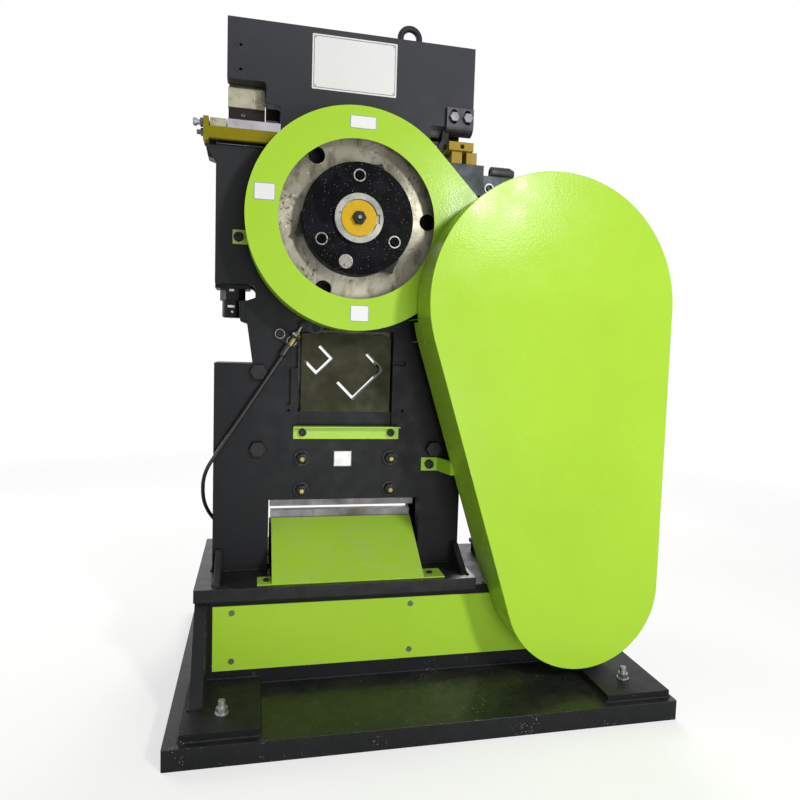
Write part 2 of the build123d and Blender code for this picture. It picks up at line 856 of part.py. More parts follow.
def channel_slot(spot):
    """Slot for a channel bar lying at 45 degrees, its flanges towards the upper left."""
    x, z, web, flange = spot
    with BuildSketch(Plane.XY) as slot:
        Rectangle(web + channel_gap, channel_gap)
        for side in (-1, 1):
            with Locations((side * web / 2, flange / 2)):
                Rectangle(channel_gap, flange + channel_gap)
    return slot.sketch.moved(Location((x, z, 0), (0, 0, 1), 45))


with BuildPart() as section_blade:
    with BuildSketch(facing(blade_face + fixed_blade_thickness)):
        with BuildLine():
            Polyline(
                (blade_left, blade_floor),
                (blade_right, blade_floor),
                (blade_right, blade_roof - 12),
                (blade_right - 12, blade_roof),
                (blade_left, blade_roof),
                close=True,
            )
        make_face()
        add(channel_slot(small_channel), mode=Mode.SUBTRACT)
        add(channel_slot(large_channel), mode=Mode.SUBTRACT)
    extrude(amount=fixed_blade_thickness)
section_blade.part.label = "section_blade"
export_step(section_blade.part, "parts/section_blade.step")

with BuildPart() as window_filler:
    add(
        block(
            window_left + seat_clearance,
            window_right - seat_clearance,
            blade_face + fixed_blade_thickness,
            blade_face,
            window_floor,
            blade_floor,
        )
    )
window_filler.part.label = "window_filler"
export_step(window_filler.part, "parts/window_filler.step")

with BuildPart() as moving_section_blade:
    with BuildSketch(facing(-ram_half)):
        with Locations(((blade_left + blade_right) / 2, (window_floor + stroke + 6 + blade_roof - 8) / 2)):
            Rectangle(blade_right - blade_left - 12, blade_roof - 14 - window_floor - stroke)
        add(channel_slot(small_channel), mode=Mode.SUBTRACT)
        add(channel_slot(large_channel), mode=Mode.SUBTRACT)
    extrude(amount=-ram_half - moving_blade_front)
moving_section_blade.part.label = "moving_section_blade"
export_step(moving_section_blade.part, "parts/moving_section_blade.step")

# Angle bar under the window
bar_left = window_left - 11.0
bar_right = window_right + 21.0
bar_roof = window_floor - 1.5
bar_height = 36.5
bar_screw_x = (bar_left + 25, bar_right - 24)
bar_screw_z = bar_roof - 18.5
screw_size = 12.0
with BuildPart() as blade_bar:
    add(block(bar_left, bar_right, -plate_outer, -plate_outer - sheet, bar_roof - bar_height, bar_roof))
    add(block(bar_left, bar_right, -plate_outer, -plate_outer - 28, bar_roof - sheet, bar_roof))
    for x in bar_screw_x:
        add(
            ring(x, bar_screw_z, -plate_outer, -plate_outer - sheet, screw_size / 2 + 0.5),
            mode=Mode.SUBTRACT,
        )
blade_bar.part.label = "blade_bar"
export_step(blade_bar.part, "parts/blade_bar.step")

# Long shear in the tunnel: lower blade on its seat, upper blade in the ram's rebate
cut_gap = 0.3
upper_blade_back = -ram_half + blade_thickness
lower_blade_front = upper_blade_back + cut_gap
with BuildPart() as lower_shear_blade:
    add(block(foot_left + 3, foot_right - 4, 10.0, lower_blade_front, blade_seat_z, blade_seat_z + 36))
lower_shear_blade.part.label = "lower_shear_blade"
export_step(lower_shear_blade.part, "parts/lower_shear_blade.step")

with BuildPart() as upper_shear_blade:
    add(
        block(
            foot_left,
            foot_right,
            upper_blade_back,
            -ram_half,
            foot_floor + 30 - blade_height,
            foot_floor + 30,
        )
    )
upper_shear_blade.part.label = "upper_shear_blade"
export_step(upper_shear_blade.part, "parts/upper_shear_blade.step")

# Scrap chute: sloping sheet with a foot flange and two screw tabs on the sole
chute_left = foot_left + 5.0
chute_right = foot_right - 3.0
chute_top_y = -20.0
chute_top_z = blade_seat_z + 16.0
chute_foot_y = -208.0
tab_spots = [(chute_left - 14.0, chute_foot_y + 22), (chute_right + 23.0, chute_foot_y + 26)]
with BuildPart() as scrap_chute:
    with BuildSketch(Plane.YZ.offset(chute_left)):
        with BuildLine():
            Polyline(
                (chute_foot_y - 4, frame_floor),
                (chute_foot_y + 30, frame_floor),
                (chute_foot_y + 30, frame_floor + sheet),
                (chute_foot_y + 6, frame_floor + sheet),
                (chute_top_y, chute_top_z - sheet * 1.2),
                (chute_top_y, chute_top_z),
                (chute_foot_y - 4, frame_floor + sheet),
                close=True,
            )
        make_face()
    extrude(amount=chute_right - chute_left)
    add(block(chute_left - 37, chute_left, chute_foot_y + 55, chute_foot_y - 4, frame_floor, frame_floor + sheet))
    add(block(chute_right, chute_right + 58, chute_foot_y + 63, chute_foot_y - 4, frame_floor, frame_floor + sheet))
    with BuildSketch(Plane.XY.offset(frame_floor)):
        with Locations(*tab_spots):
            Circle(4.5)
    extrude(amount=sheet, mode=Mode.SUBTRACT)
scrap_chute.part.label = "scrap_chute"
export_step(scrap_chute.part, "parts/scrap_chute.step")

# Guard ring round the main gear, with a tail over the idler pinion and two tabs on the plate
guard_back = gear_back
tab_width = 37.0
left_tab_z = gear_axis_z - 45.5
left_tab_x = gear_axis_x - 298.5
right_tab_x = idler_x + 102.0
with BuildPart() as gear_guard:
    with BuildSketch(facing(guard_back)):
        add(hull(gear_axis_x, gear_axis_z, guard_ring_radius, idler_x, idler_z, guard_tail_radius))
        add(
            hull(
                gear_axis_x,
                gear_axis_z,
                guard_ring_radius - sheet,
                idler_x,
                idler_z,
                guard_tail_radius - sheet,
            ),
            mode=Mode.SUBTRACT,
        )
    extrude(amount=guard_back - gear_guard_face)
    with BuildSketch(facing(gear_guard_face + sheet)):
        add(hull(gear_axis_x, gear_axis_z, guard_ring_radius, idler_x, idler_z, guard_tail_radius))
        with Locations((gear_axis_x, gear_axis_z)):
            Circle(guard_hole_radius, mode=Mode.SUBTRACT)
    extrude(amount=sheet)
    for axis_x, axis_z, radius, tab_x, tab_z in (
        (gear_axis_x, gear_axis_z, guard_ring_radius, left_tab_x, left_tab_z),
        (idler_x, idler_z, guard_tail_radius, right_tab_x, idler_z),
    ):
        side = 1 if tab_x > axis_x else -1
        with BuildSketch(facing(-plate_outer)):
            with Locations((axis_x, axis_z)):
                Circle(radius)
                Circle(radius - sheet, mode=Mode.SUBTRACT)
            with Locations((axis_x + side * radius, tab_z)):
                Rectangle(radius, tab_width, mode=Mode.INTERSECT)
        extrude(amount=-plate_outer - guard_back)
        with BuildSketch(facing(-plate_outer)):
            tab_end = tab_x + side * 15
            tab_root = axis_x + side * (radius - sheet - 4)
            with Locations(((tab_end + tab_root) / 2, tab_z)):
                Rectangle(abs(tab_end - tab_root), tab_width)
            with Locations((tab_x, tab_z)):
                Circle(screw_size / 2 + 0.5, mode=Mode.SUBTRACT)
            with Locations((axis_x, axis_z)):
                Circle(radius - sheet, mode=Mode.SUBTRACT)
        extrude(amount=sheet)
gear_guard.part.label = "gear_guard"
export_step(gear_guard.part, "parts/gear_guard.step")

# Belt guard: deep cover over flywheel, belts and motor pulley, on two straps
rim_back = -157.0
rim_back_low = -194.0
rim_back_tail = gear_guard_face - 3.0
strap_z = frame_floor + 290.0
strap_x = frame_right - 95.0
strap_width = 38.0
guard_bottom = (belt_guard_bottom_x, belt_guard_bottom_z)
with BuildPart() as belt_guard:
    with BuildSketch(facing(rim_back)):
        add(hull(flywheel_x, flywheel_z, belt_guard_top_radius, *guard_bottom, belt_guard_bottom_radius))
        add(
            hull(
                flywheel_x,
                flywheel_z,
                belt_guard_top_radius - sheet,
                *guard_bottom,
                belt_guard_bottom_radius - sheet,
            ),
            mode=Mode.SUBTRACT,
        )
    extrude(amount=rim_back - belt_guard_face)
    with BuildSketch(facing(belt_guard_face + sheet)):
        add(hull(flywheel_x, flywheel_z, belt_guard_top_radius, *guard_bottom, belt_guard_bottom_radius))
    extrude(amount=sheet)
    add(
        block(
            flywheel_x - 400,
            flywheel_x - 85,
            rim_back + 1,
            rim_back_tail,
            flywheel_z - 50,
            flywheel_z + 400,
        ),
        mode=Mode.SUBTRACT,
    )
    add(
        block(base_left, flywheel_x + 400, rim_back + 1, rim_back_low, pallet_height, base_roof + 6),
        mode=Mode.SUBTRACT,
    )
    with BuildSketch(Plane.XY.offset(strap_z - strap_width / 2)):
        with BuildLine():
            Polyline(
                (strap_x - 23, -plate_outer),
                (strap_x + 25, -plate_outer),
                (strap_x + 58, rim_back),
                (strap_x + 58, rim_back - 8),
                (strap_x + 42, rim_back - 8),
                (strap_x + 23, -plate_outer - sheet),
                (strap_x - 23, -plate_outer - sheet),
                close=True,
            )
        make_face()
    extrude(amount=strap_width)
    with BuildSketch(Plane.XY.offset(flywheel_z + 76)):
        with BuildLine():
            Polyline(
                (arm_right - 50, -plate_outer),
                (arm_right, -plate_outer),
                (flywheel_x + 321, rim_back),
                (flywheel_x + 321, rim_back - 8),
                (flywheel_x + 309, rim_back - 8),
                (arm_right - 3, -plate_outer - sheet),
                (arm_right - 50, -plate_outer - sheet),
                close=True,
            )
        make_face()
    extrude(amount=strap_width)
    for x, z in ((strap_x, strap_z), (arm_right - 26, flywheel_z + 76 + strap_width / 2)):
        add(ring(x, z, -plate_outer, -plate_outer - sheet, screw_size / 2 + 0.5), mode=Mode.SUBTRACT)
belt_guard.part.label = "belt_guard"
export_step(belt_guard.part, "parts/belt_guard.step")

# Black screws of the sheet-metal covers, the angle bar and the clutch bracket
bracket_spots = [(window_left - 51.0, window_roof - 15.5), (window_left - 20.0, window_roof - 35.0)]
bracket_thickness = 6.0
bracket_screw = 10.0
cover_screw = socket_screw(screw_size, sheet)
with BuildPart() as cover_screws:
    for x, z in (
        (bar_screw_x[0], bar_screw_z),
        (bar_screw_x[1], bar_screw_z),
        (left_tab_x, left_tab_z),
        (right_tab_x, idler_z),
        (strap_x, strap_z),
        (arm_right - 26, flywheel_z + 76 + strap_width / 2),
    ):
        with Locations((x, -plate_outer - sheet, z)):
            add(cover_screw)
    for x, z in bracket_spots:
        with Locations((x, -plate_outer - bracket_thickness, z)):
            add(socket_screw(bracket_screw, bracket_thickness))
    for x, y in tab_spots:
        with BuildSketch(Plane.XY.offset(frame_floor)):
            with Locations((x, y)):
                Circle(4)
        extrude(amount=sheet)
        with BuildSketch(Plane.XY.offset(frame_floor + sheet)):
            with Locations((x, y)):
                RegularPolygon(radius=7.5, side_count=6)
        extrude(amount=5.5)
cover_screws.part.label = "cover_screws"
export_step(cover_screws.part, "parts/cover_screws.step")

# Main gear with its web, hub and three through holes
def around_gear(radius, angle):
    """Point at a radius and an angle in degrees round the main gear's axis."""
    return gear_axis_x + radius * cos(radians(angle)), gear_axis_z + radius * sin(radians(angle))


rim_inner = 215.0
web_back = gear_back - 12.0
hub_radius = 100.0
web_hole_radius = 21.5
web_hole_ring = 193.0
disc_screw_ring = 108.0
disc_screw_angles = (90, 211, 331)
disc_screw_radius = 8.0
disc_screws_at = [around_gear(disc_screw_ring, angle) for angle in disc_screw_angles]
with BuildPart() as main_gear:
    add(gear(main_teeth, gear_axis_x, gear_axis_z, gear_back, gear_front, idler_angle, rim_inner))
    add(ring(gear_axis_x, gear_axis_z, web_back, web_front, rim_inner + 1, journal_radius + running_clearance))
    add(ring(gear_axis_x, gear_axis_z, gear_back, web_front, hub_radius, journal_radius + running_clearance))
    for angle in (123, 4, -115):
        x, z = around_gear(web_hole_ring, angle)
        add(ring(x, z, web_back, web_front, web_hole_radius), mode=Mode.SUBTRACT)
    for x, z in disc_screws_at:
        add(ring(x, z, web_front + 22, web_front, disc_screw_radius + running_clearance), mode=Mode.SUBTRACT)
main_gear.part.label = "main_gear"
export_step(main_gear.part, "parts/main_gear.step")

# Clutch disc bolted to the gear
pocket_radius = 16.0
screw_pocket = 8.0
plug_radius = 18.0
plug_depth = 12.0
plug_x = gear_axis_x - 30.0
plug_z = gear_axis_z - 108.0
with BuildPart() as clutch_disc:
    add(ring(gear_axis_x, gear_axis_z, web_front, disc_front, disc_radius, journal_radius + running_clearance))
    for angle in (68, 189, -50):
        with BuildSketch(facing(web_front)):
            with BuildLine():
                Polyline(
                    around_gear(disc_radius - 3, angle - 5),
                    around_gear(disc_radius + 11.5, angle),
                    around_gear(disc_radius - 3, angle + 5),
                    close=True,
                )
            make_face()
        extrude(amount=12)
    for x, z in disc_screws_at:
        add(ring(x, z, disc_front + screw_pocket, disc_front, pocket_radius), mode=Mode.SUBTRACT)
        add(ring(x, z, web_front, disc_front, disc_screw_radius + running_clearance), mode=Mode.SUBTRACT)
    add(ring(plug_x, plug_z, disc_front + plug_depth, disc_front, plug_radius), mode=Mode.SUBTRACT)
clutch_disc.part.label = "clutch_disc"
export_step(clutch_disc.part, "parts/clutch_disc.step")

with BuildPart() as disc_screws:
    for x, z in disc_screws_at:
        add(ring(x, z, disc_front + screw_pocket, disc_front - 1.5, pocket_radius - 0.05, pocket_radius - 3.5))
        with Locations((x, disc_front + screw_pocket, z)):
            add(socket_screw(2 * disc_screw_radius - 4, 3))
        add(ring(x, z, web_front + 20, disc_front + screw_pocket, disc_screw_radius))
    add(ring(plug_x, plug_z, disc_front + plug_depth, disc_front - 0.5, plug_radius - 0.05))
disc_screws.part.label = "disc_screws"
export_step(disc_screws.part, "parts/disc_screws.step")

# Eccentric shaft: journals, lobe, stop collar with its notch, threaded ends
journal_end = disc_front - 0.5
cap_radius = 45.0
thread_radius = cap_radius + 2.0
shaft_rear = plate_outer + 10.0
collar_radius = 85.0
collar_back = -plate_outer - lever_gap
nose_angle = -109.7
cap_back = journal_end - 3.5
cap_bolt_size = 20.0
with BuildPart() as eccentric_shaft:
    add(ring(gear_axis_x, gear_axis_z, shaft_rear, lobe_half, journal_radius))
    add(ring(gear_axis_x, gear_axis_z, -lobe_half, journal_end, journal_radius))
    add(ring(gear_axis_x, lobe_z, lobe_half, -lobe_half, lobe_radius))
    add(ring(gear_axis_x, gear_axis_z, collar_back, collar_back - lever_thickness, collar_radius))
    notch_x, notch_z = around_gear(collar_radius, nose_angle)
    add(ring(notch_x, notch_z, collar_back, collar_back - lever_thickness, 9.0), mode=Mode.SUBTRACT)
    add(ring(gear_axis_x, gear_axis_z, journal_end, cap_back, thread_radius))
    add(ring(gear_axis_x, gear_axis_z, cap_back + 40, cap_back, cap_bolt_size / 2), mode=Mode.SUBTRACT)
eccentric_shaft.part.label = "eccentric_shaft"
export_step(eccentric_shaft.part, "parts/eccentric_shaft.step")

with BuildPart() as shaft_nuts:
    add(ring(gear_axis_x, gear_axis_z, journal_end, journal_end - 10.5, thread_radius + 15, thread_radius))
    add(ring(gear_axis_x, gear_axis_z, shaft_rear, plate_outer + 1, journal_radius + 16, journal_radius))
    for side in (-1, 1):
        add(
            block(
                gear_axis_x + side * (thread_radius + 1.5) - 4,
                gear_axis_x + side * (thread_radius + 1.5) + 4,
                journal_end - 5,
                journal_end - 10.5,
                gear_axis_z - 12,
                gear_axis_z + 12,
            ),
            mode=Mode.SUBTRACT,
        )
shaft_nuts.part.label = "shaft_nuts"
export_step(shaft_nuts.part, "parts/shaft_nuts.step")

with BuildPart() as shaft_cap:
    add(ring(gear_axis_x, gear_axis_z, cap_back, cap_back - 4, cap_radius, cap_bolt_size / 2 + 0.5))
shaft_cap.part.label = "shaft_cap"
export_step(shaft_cap.part, "parts/shaft_cap.step")

with BuildPart() as cap_bolt:
    with Locations((gear_axis_x, cap_back - 4, gear_axis_z)):
        add(hex_bolt(cap_bolt_size, 40))
cap_bolt.part.label = "cap_bolt"
export_step(cap_bolt.part, "parts/cap_bolt.step")

# Slide block on the lobe, inside the ram's yoke window
block_half = ram_half - 2.0
with BuildPart() as slide_block:
    add(
        block(
            gear_axis_x - block_width / 2,
            gear_axis_x + block_width / 2,
            block_half,
            -block_half,
            lobe_z - block_height / 2,
            lobe_z + block_height / 2,
        )
    )
    add(ring(gear_axis_x, lobe_z, block_half, -block_half, lobe_radius + running_clearance), mode=Mode.SUBTRACT)
slide_block.part.label = "slide_block"
export_step(slide_block.part, "parts/slide_block.step")

# Punch station under the ram's punch arm
punch_x = frame_left + 43.0
with BuildPart() as punch_holder:
    add(block(punch_x - 45, punch_x + 47, 40, -40, punch_arm_floor - 16, punch_arm_floor))
    with BuildSketch(Plane.XY.offset(punch_arm_floor - 16)):
        with Locations((punch_x, 0)):
            RegularPolygon(radius=34, side_count=6)
    extrude(amount=-31)
    with BuildSketch(Plane.XY.offset(punch_arm_floor - 47)):
        with Locations((punch_x + 2, 0)):
            Circle(30)
    extrude(amount=-46)
    chamfer(punch_holder.faces().sort_by(Axis.Z)[0].edges(), length=4)
punch_holder.part.label = "punch_holder"
export_step(punch_holder.part, "parts/punch_holder.step")

# Square and round bar shear at the upper left
upper_blade_x = top_left + 49.0
with BuildPart() as upper_blade_holder:
    add(block(upper_blade_x - 48, upper_blade_x + 48, 36, -36, left_arm_floor - 50, left_arm_floor))
upper_blade_holder.part.label = "upper_blade_holder"
export_step(upper_blade_holder.part, "parts/upper_blade_holder.step")

upper_blade_rear = -6.0
upper_blade_front = -30.0
with BuildPart() as upper_left_blade:
    add(
        block(
            upper_blade_x - 47,
            upper_blade_x + 48,
            upper_blade_rear,
            upper_blade_front,
            left_arm_floor - 81,
            left_arm_floor - 50,
        )
    )
    add(
        ring(upper_blade_x - 8, left_arm_floor - 66, upper_blade_rear, upper_blade_front, 6),
        mode=Mode.SUBTRACT,
    )
upper_left_blade.part.label = "upper_left_blade"
export_step(upper_left_blade.part, "parts/upper_left_blade.step")

bar_end_left = frame_left - 16.0
bar_floor = shear_floor + 40.0
with BuildPart() as support_bar:
    bar_back = upper_blade_front - cut_gap
    add(block(bar_end_left, step_left, bar_back, -plate_outer - 25, bar_floor, bar_floor + 28))
    add(block(frame_left, step_left, bar_back, -plate_outer, shear_floor, bar_floor))
support_bar.part.label = "support_bar"
export_step(support_bar.part, "parts/support_bar.step")

with BuildPart() as table_angle:
    table_front = -plate_outer - 35.0
    table_right = frame_left + 136.0
    add(block(bar_end_left - 1, table_right, table_front + 10, table_front, shear_floor - 4, bar_floor))
    add(block(bar_end_left - 1, table_right, -plate_outer, table_front, bar_floor - 9, bar_floor))
    add(
        block(
            bar_end_left - 14,
            bar_end_left,
            -plate_outer + 25,
            table_front,
            shear_floor - 4,
            bar_floor + 15,
        )
    )
table_angle.part.label = "table_angle"
export_step(table_angle.part, "parts/table_angle.step")

with BuildPart() as table_adjusters:
    for y, z in ((-plate_outer - 12, bar_floor - 2), (-plate_outer + 8, bar_floor - 22)):
        with BuildSketch(Plane.YZ.offset(bar_end_left - 14)):
            with Locations((y, z)):
                RegularPolygon(radius=10.5, side_count=6)
        extrude(amount=-9)
        with BuildSketch(Plane.YZ.offset(bar_end_left - 14)):
            with Locations((y, z)):
                Circle(6)
        extrude(amount=-24)
table_adjusters.part.label = "table_adjusters"
export_step(table_adjusters.part, "parts/table_adjusters.step")

# Notching station at the upper right: punch on the ram, bracket, hold-down and die block on the frame
punch_left = notch_left + 51.0
punch_right = punch_left + 50.0
bracket_left = notch_left + 40.0
bracket_right = frame_right - 2.0
bracket_foot = notch_roof - 45.0
bracket_front = -plate_outer - 12.0
bolt_z = notch_roof + 22.5
notch_bolt_x = (bracket_left + 22, bracket_right - 18)
hold_left = bracket_left + 7.0
hold_right = bracket_right - 2.0
die_top = notch_floor + 83.0
step_top = die_top - 21.0
with BuildPart() as notch_punch:
    add(block(punch_left, punch_right, 20, -20, right_arm_floor - 98, right_arm_floor))
notch_punch.part.label = "notch_punch"
export_step(notch_punch.part, "parts/notch_punch.step")

with BuildPart() as notch_bracket:
    add(block(bracket_left, bracket_right, -plate_outer, bracket_front, bracket_foot, notch_roof + 48))
    add(block(bracket_left, bracket_right, -35, bracket_front, bracket_foot, bracket_foot + 12))
    for x in notch_bolt_x:
        with BuildSketch(facing(-plate_outer)):
            with Locations((x, bolt_z)):
                SlotOverall(34, 17, rotation=90)
        extrude(amount=12, mode=Mode.SUBTRACT)
notch_bracket.part.label = "notch_bracket"
export_step(notch_bracket.part, "parts/notch_bracket.step")

with BuildPart() as notch_bolts:
    for x in notch_bolt_x:
        with Locations((x, bracket_front, bolt_z)):
            add(hex_bolt(16, 12))
notch_bolts.part.label = "notch_bolts"
export_step(notch_bolts.part, "parts/notch_bolts.step")

with BuildPart() as notch_hold_down:
    add(block(hold_left, hold_right, -30, -plate_outer - 25, bracket_foot - 23, bracket_foot))
    add(block(hold_left + 11, hold_left + 41, -35, -plate_outer - 15, die_top, bracket_foot - 23))
    add(block(hold_left + 54, hold_left + 84, -35, -plate_outer - 15, die_top, bracket_foot - 23))
    with BuildSketch(facing(-30)):
        with Locations((hold_left + 38, bracket_foot - 12)):
            Circle(6)
    extrude(amount=plate_outer, mode=Mode.SUBTRACT)
notch_hold_down.part.label = "notch_hold_down"
export_step(notch_hold_down.part, "parts/notch_hold_down.step")

with BuildPart() as notch_die_block:
    add(block(bracket_left, frame_right + 32, 80, -plate_outer - 15, notch_floor, die_top))
    add(block(frame_right + 28, frame_right + 130, 80, -plate_outer + 5, notch_floor, step_top))
    add(ring(idler_x, idler_z, plate_inner, -plate_inner, 170), mode=Mode.SUBTRACT)
    add(
        block(punch_left - 0.5, punch_right + 0.5, 20.5, -20.5, right_arm_floor - 150, die_top),
        mode=Mode.SUBTRACT,
    )
notch_die_block.part.label = "notch_die_block"
export_step(notch_die_block.part, "parts/notch_die_block.step")

with BuildPart() as stop_rod:
    with BuildSketch(Plane.YZ.offset(frame_right + 55)):
        with Locations((-60, step_top + 8.5)):
            Circle(8.5)
    extrude(amount=65)
    with Locations((frame_right + 46, -plate_outer + 5, notch_floor + 21)):
        add(hex_bolt(10, 0, washer=2.0))
stop_rod.part.label = "stop_rod"
export_step(stop_rod.part, "parts/stop_rod.step")

# Gear train between the plates
pinion_back = gear_back - 2.0
pinion_front = gear_front + 6.0
train_rear = plate_outer + 10.0
with BuildPart() as idler_shaft:
    add(ring(idler_x, idler_z, train_rear, pinion_front - 2, train_shaft_radius))
    add(gear(idler_pinion_teeth, idler_x, idler_z, pinion_back, pinion_front, idler_mesh))
idler_shaft.part.label = "idler_shaft"
export_step(idler_shaft.part, "parts/idler_shaft.step")

with BuildPart() as idler_gear:
    add(
        gear(
            idler_teeth,
            idler_x,
            idler_z,
            30,
            -30,
            flywheel_angle,
            train_shaft_radius + running_clearance,
        )
    )
    for angle in range(20, 380, 72):
        x = idler_x + 92 * cos(radians(angle))
        z = idler_z + 92 * sin(radians(angle))
        add(ring(x, z, 30, -30, 26), mode=Mode.SUBTRACT)
idler_gear.part.label = "idler_gear"
export_step(idler_gear.part, "parts/idler_gear.step")

with BuildPart() as flywheel_shaft:
    add(ring(flywheel_x, flywheel_z, train_rear, flywheel_front - 10, train_shaft_radius))
    add(ring(flywheel_x, flywheel_z, flywheel_front, flywheel_front - 10, train_shaft_radius + 12))
    add(gear(flywheel_pinion_teeth, flywheel_x, flywheel_z, 32, -32, flywheel_mesh))
flywheel_shaft.part.label = "flywheel_shaft"
export_step(flywheel_shaft.part, "parts/flywheel_shaft.step")

# Flywheel with three belt grooves, belts and motor pulley
belt_pitch = belt_width + 5.0
groove_width = belt_width + 1.0
belt_middle = (flywheel_back + flywheel_front) / 2
groove_radius = flywheel_radius - belt_height - 3.0
pulley_groove_radius = (groove_radius + belt_height / 2) / belt_ratio - belt_height / 2
belt_depths = [belt_middle + (n - (belt_count - 1) / 2) * belt_pitch for n in range(belt_count)]
with BuildPart() as flywheel:
    add(ring(flywheel_x, flywheel_z, flywheel_back, flywheel_front, flywheel_radius, flywheel_radius - 45))
    add(
        ring(
            flywheel_x,
            flywheel_z,
            belt_middle + 13,
            belt_middle - 13,
            flywheel_radius - 40,
            train_shaft_radius + running_clearance,
        )
    )
    add(
        ring(
            flywheel_x,
            flywheel_z,
            flywheel_back,
            flywheel_front,
            train_shaft_radius + 45,
            train_shaft_radius + running_clearance,
        )
    )
    for angle in range(0, 360, 72):
        x = flywheel_x + 150 * cos(radians(angle))
        z = flywheel_z + 150 * sin(radians(angle))
        add(ring(x, z, belt_middle + 13, belt_middle - 13, 42), mode=Mode.SUBTRACT)
    for y in belt_depths:
        add(
            ring(
                flywheel_x,
                flywheel_z,
                y + groove_width / 2,
                y - groove_width / 2,
                flywheel_radius + 1,
                groove_radius,
            ),
            mode=Mode.SUBTRACT,
        )
flywheel.part.label = "flywheel"
export_step(flywheel.part, "parts/flywheel.step")

with BuildPart() as drive_belts:
    inner = groove_radius + running_clearance
    pulley_inner = pulley_groove_radius + running_clearance
    for y in belt_depths:
        with BuildSketch(facing(y + belt_width / 2)):
            add(hull(flywheel_x, flywheel_z, inner + belt_height, motor_x, motor_z, pulley_inner + belt_height))
            add(hull(flywheel_x, flywheel_z, inner, motor_x, motor_z, pulley_inner), mode=Mode.SUBTRACT)
        extrude(amount=belt_width)
drive_belts.part.label = "drive_belts"
export_step(drive_belts.part, "parts/drive_belts.step")

motor_face = -172.0
shaft_end = motor_face - 62.0
pulley_edge = pulley_groove_radius + belt_height + 3.0
pulley_front = belt_middle - belt_pitch * belt_count / 2 - 4.0
pulley_back = belt_middle + belt_pitch * belt_count / 2 + 4.0
with BuildPart() as motor_pulley:
    add(ring(motor_x, motor_z, pulley_back, pulley_front, pulley_edge, pulley_edge - 24))
    add(ring(motor_x, motor_z, shaft_end, shaft_end - 8, pulley_edge - 20))
    add(ring(motor_x, motor_z, motor_face - 14, shaft_end, 32, motor_shaft_radius + running_clearance))
    for y in belt_depths:
        add(
            ring(
                motor_x,
                motor_z,
                y + groove_width / 2,
                y - groove_width / 2,
                pulley_edge + 1,
                pulley_groove_radius,
            ),
            mode=Mode.SUBTRACT,
        )
motor_pulley.part.label = "motor_pulley"
export_step(motor_pulley.part, "parts/motor_pulley.step")

with BuildPart() as motor_shaft:
    add(ring(motor_x, motor_z, motor_face + 30, shaft_end, motor_shaft_radius))
motor_shaft.part.label = "motor_shaft"
export_step(motor_shaft.part, "parts/motor_shaft.step")

# Motor: finned body, end bells, fan cover, feet and terminal box
motor_rear = 92.0
fan_rear = 168.0
plate_top = motor_z - motor_shaft_height
with BuildPart() as motor:
    add(ring(motor_x, motor_z, motor_rear - 12, motor_face + 12, motor_body_radius))
    add(ring(motor_x, motor_z, motor_face + 12, motor_face, motor_body_radius + 8))
    add(ring(motor_x, motor_z, motor_rear, motor_rear - 12, motor_body_radius + 8))
    add(ring(motor_x, motor_z, fan_rear, motor_rear, motor_body_radius + 10))
    with BuildSketch(facing(motor_rear - 20)):
        for turn in range(0, 360, 12):
            if 40 <= turn <= 140 or 210 <= turn <= 330:
                continue
            with Locations(Location((motor_x, motor_z, 0), (0, 0, 1), turn)):
                with Locations((motor_body_radius + motor_fin_height / 2 - 2, 0)):
                    Rectangle(motor_fin_height, 4)
    extrude(amount=motor_rear - 20 - motor_face - 30)
    for side in (-1, 1):
        x = motor_x + side * 70
        add(block(x - 25, x + 25, 50, -120, plate_top, plate_top + 50))
        add(block(x - 25 + side * 25, x + 25 + side * 25, 50, -120, plate_top, plate_top + 12))
    add(block(motor_x - 55, motor_x + 55, 20, -100, motor_z + motor_body_radius - 14, motor_z + 150))
    add(ring(motor_x, motor_z, motor_face + 31, motor_face, motor_shaft_radius + running_clearance), mode=Mode.SUBTRACT)
motor.part.label = "motor"
export_step(motor.part, "parts/motor.step")

# Motor plate on four adjusting studs
stud_radius = 8.0
with BuildPart() as motor_plate:
    add(block(motor_x - 150, motor_x + 150, 130, -150, plate_top - motor_plate_thickness, plate_top))
    for x in (motor_x - 134, motor_x + 134):
        for y in (-134, 114):
            with BuildSketch(Plane.XY.offset(base_roof)):
                with Locations((x, y)):
                    Circle(stud_radius)
            extrude(amount=62)
            for z in (base_roof, plate_top - motor_plate_thickness - 13, plate_top):
                with BuildSketch(Plane.XY.offset(z)):
                    with Locations((x, y)):
                        RegularPolygon(radius=14, side_count=6)
                extrude(amount=13)
motor_plate.part.label = "motor_plate"
export_step(motor_plate.part, "parts/motor_plate.step")

# Clutch bracket, lever and control cable
cable_y = -plate_outer - 25.0
cable_radius = 5.0
pivot_x = window_left + 45.0
pivot_z = window_roof + 4.0
pivot_radius = 10.0
wire_x = pivot_x - 37.0
wire_z = pivot_z + 5.0
cable_start = (wire_x - 42.5, wire_z - 70.0)
cable_slope = 1.5592
ferrule_length = 58.0
slope_length = hypot(1, cable_slope)
along_x = 1 / slope_length
along_z = cable_slope / slope_length


def on_cable(distance):
    """Location on the cable's straight upper run, its z along the run, at a distance from its upper end."""
    x = cable_start[0] + distance * along_x
    z = cable_start[1] + distance * along_z
    return Plane(origin=(x, cable_y, z), x_dir=(0, 1, 0), z_dir=(along_x, 0, along_z))


